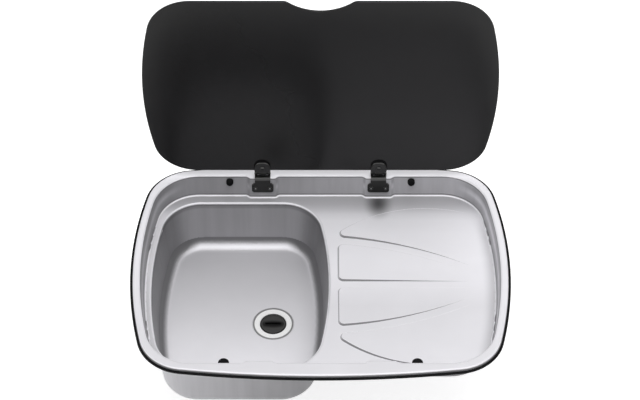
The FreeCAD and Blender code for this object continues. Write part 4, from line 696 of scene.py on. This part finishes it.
def screw_tree(black, bright):
    """Domed screws square to the recess wall, two on each hinge foot."""
    tree = bpy.data.node_groups.new("hinge_screws", "GeometryNodeTree")
    names = ("Head Radius", "Head Height", "Shank Radius", "Shank Length", "Pair Spacing", "Hinge Spacing")
    keys = {name: tree_input(tree, name) for name in names}
    tree.interface.new_socket(name="Geometry", in_out="OUTPUT", socket_type="NodeSocketGeometry")
    given = tree.nodes.new("NodeGroupInput").outputs

    screw = tree.nodes.new("GeometryNodeJoinGeometry")
    head = head_of(tree, given["Head Radius"], given["Head Height"], black, bright)
    shank = shank_of(tree, given["Shank Radius"], given["Shank Length"], bright)
    for part in (head, shank):
        tree.links.new(part, screw.inputs[0])
    turned = tree.nodes.new("GeometryNodeTransform")
    turned.inputs["Rotation"].default_value = (math.radians(90) - WALL_LEAN, 0, 0)
    tree.links.new(screw.outputs[0], turned.inputs["Geometry"])

    pair = on_points(tree, row_of(tree, 2, given["Pair Spacing"]), turned.outputs[0])
    all_four = on_points(tree, row_of(tree, 2, given["Hinge Spacing"]), pair)
    real = tree.nodes.new("GeometryNodeRealizeInstances")
    tree.links.new(all_four, real.inputs[0])
    result = tree.nodes.new("NodeGroupOutput")
    tree.links.new(real.outputs[0], result.inputs[0])
    return tree, keys


def mesh_from(tree, keys, sizes):
    """Runs a geometry tree with its sizes, and hands back the plain mesh."""
    blank = new_object("screw_source", bpy.data.meshes.new("screw_source"))
    modifier = blank.modifiers.new("screws", "NODES")
    modifier.node_group = tree
    for name, value in sizes.items():
        modifier[keys[name]] = value
    blank.update_tag()
    bpy.context.view_layer.update()
    mesh = bpy.data.meshes.new_from_object(blank.evaluated_get(bpy.context.evaluated_depsgraph_get()))
    blank.modifiers.clear()
    bpy.data.objects.remove(blank)
    return mesh


def hinge_screws():
    low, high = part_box("hinge_base_screws")
    tree, keys = screw_tree(FINISHES["black_metal"], FINISHES["screw_steel"])
    sizes = {
        "Head Radius": HEAD_RADIUS * RADIUS_SHARE,
        "Head Height": HEAD_HEIGHT * HEIGHT_SHARE,
        "Shank Radius": SHANK_RADIUS,
        "Shank Length": SHANK_LENGTH,
        "Pair Spacing": 2 * (high[0] - HEAD_RADIUS - HINGE_X),
        "Hinge Spacing": 2 * HINGE_X,
    }
    mesh = mesh_from(tree, keys, sizes)
    # The heads' undersides lie on the hinge feet: the front face of a screw's box is its crown.
    seat_y = low[1] + HEAD_HEIGHT * math.cos(WALL_LEAN)
    seat_z = high[2] - HEAD_RADIUS * math.cos(WALL_LEAN)
    for vertex in mesh.vertices:
        vertex.co += Vector((0, seat_y, seat_z))
    return new_object("hinge_screws", mesh)


screws = hinge_screws()
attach(screws, "sink")
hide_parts("hinge_base_screws")


# ---------------------------------------------------------------- floor

FLOOR_SIZE = 14
FLOOR_GAP = 0.0014
FLOOR_GLOW = 0.72
FLOOR_GRAIN = 60
FLOOR_DARK = (0.76, 0.76, 0.76)
FLOOR_LIGHT = (0.78, 0.78, 0.78)


def seen_directly(tree):
    """1 where the background is looked at, straight or in metal and glass, and 0 where it gives light."""
    path = add(tree, "ShaderNodeLightPath")
    direct = maths(tree, "ADD", path.outputs["Is Camera Ray"], path.outputs["Is Glossy Ray"])
    return maths(tree, "ADD", direct, path.outputs["Is Transmission Ray"], clamp=True)


def floor_paint():
    """Pale matt paint with faint speckles, which shows white to the camera."""
    material, tree, shader = new_material("floor_paint")
    colour = blend_colours(tree, varied(tree, grain(tree, FLOOR_GRAIN)), FLOOR_DARK, FLOOR_LIGHT)
    tree.links.new(colour, shader.inputs["Base Color"])
    shader.inputs["Roughness"].default_value = 0.9
    shader.inputs["Specular IOR Level"].default_value = 0.1
    shader.inputs["Emission Color"].default_value = (1, 1, 1, 1)
    tree.links.new(product(tree, seen_directly(tree), FLOOR_GLOW), shader.inputs["Emission Strength"])
    return material


bpy.ops.mesh.primitive_plane_add(size=FLOOR_SIZE, location=(0, 0, SINK_BOTTOM - FLOOR_GAP))
floor = bpy.context.object
floor.name = "floor"
floor.data.materials.append(floor_paint())


# ---------------------------------------------------------------- light

# Brightness of the studio over its height: straight down at 0, the horizon at 0.5, overhead at 1.
SKY = ((0.0, 0.05), (0.5, 0.05), (0.75, 0.12), (0.9, 0.8), (1.0, 1.0))
SKY_STRENGTH = 0.9

LIGHT_WATTS = 26.5
LIGHT_WIDTH = 2.2
LIGHT_LENGTH = 1.6
LIGHT_PLACE = Vector((0.15, -0.1, 2.0))


def studio_world():
    world = bpy.data.worlds.new("studio")
    world.use_nodes = True
    tree = world.node_tree
    background = tree.nodes["Background"]
    height = ranged(tree, parts_of(tree, "Generated")[2], (-1, 1))
    seen = seen_directly(tree)
    colour = blend_colours(tree, seen, curve(tree, height, SKY), WHITE)
    tree.links.new(colour, background.inputs["Color"])
    tree.links.new(ranged(tree, seen, (0, 1), (SKY_STRENGTH, 1.0)), background.inputs["Strength"])
    return world


def top_light():
    """A soft box over the sink that points at its middle."""
    lamp = bpy.data.lights.new("top_light", "AREA")
    lamp.shape = "RECTANGLE"
    lamp.size = LIGHT_WIDTH
    lamp.size_y = LIGHT_LENGTH
    lamp.energy = LIGHT_WATTS
    holder = new_object("top_light", lamp)
    holder.location = LIGHT_PLACE
    holder.rotation_euler = (-LIGHT_PLACE).to_track_quat("-Z", "Y").to_euler()


scene.world = studio_world()
top_light()


# ---------------------------------------------------------------- camera

# The pinhole camera that was fitted to the rim, the recess and the lid in the photograph.
CAMERA_PLACE = (0, -2.5992, 2.9745)
CAMERA_TILT = math.radians(42.74)
CAMERA_LENS = 139.8
CAMERA_SENSOR = 36
CAMERA_SHIFT = -0.0008

camera_data = bpy.data.cameras.new("camera")
camera_data.lens = CAMERA_LENS
camera_data.sensor_width = CAMERA_SENSOR
camera_data.shift_x = CAMERA_SHIFT
camera = new_object("camera", camera_data)
camera.location = CAMERA_PLACE
camera.rotation_euler = (CAMERA_TILT, 0, 0)
scene.camera = camera

scene.view_settings.view_transform = "Standard"
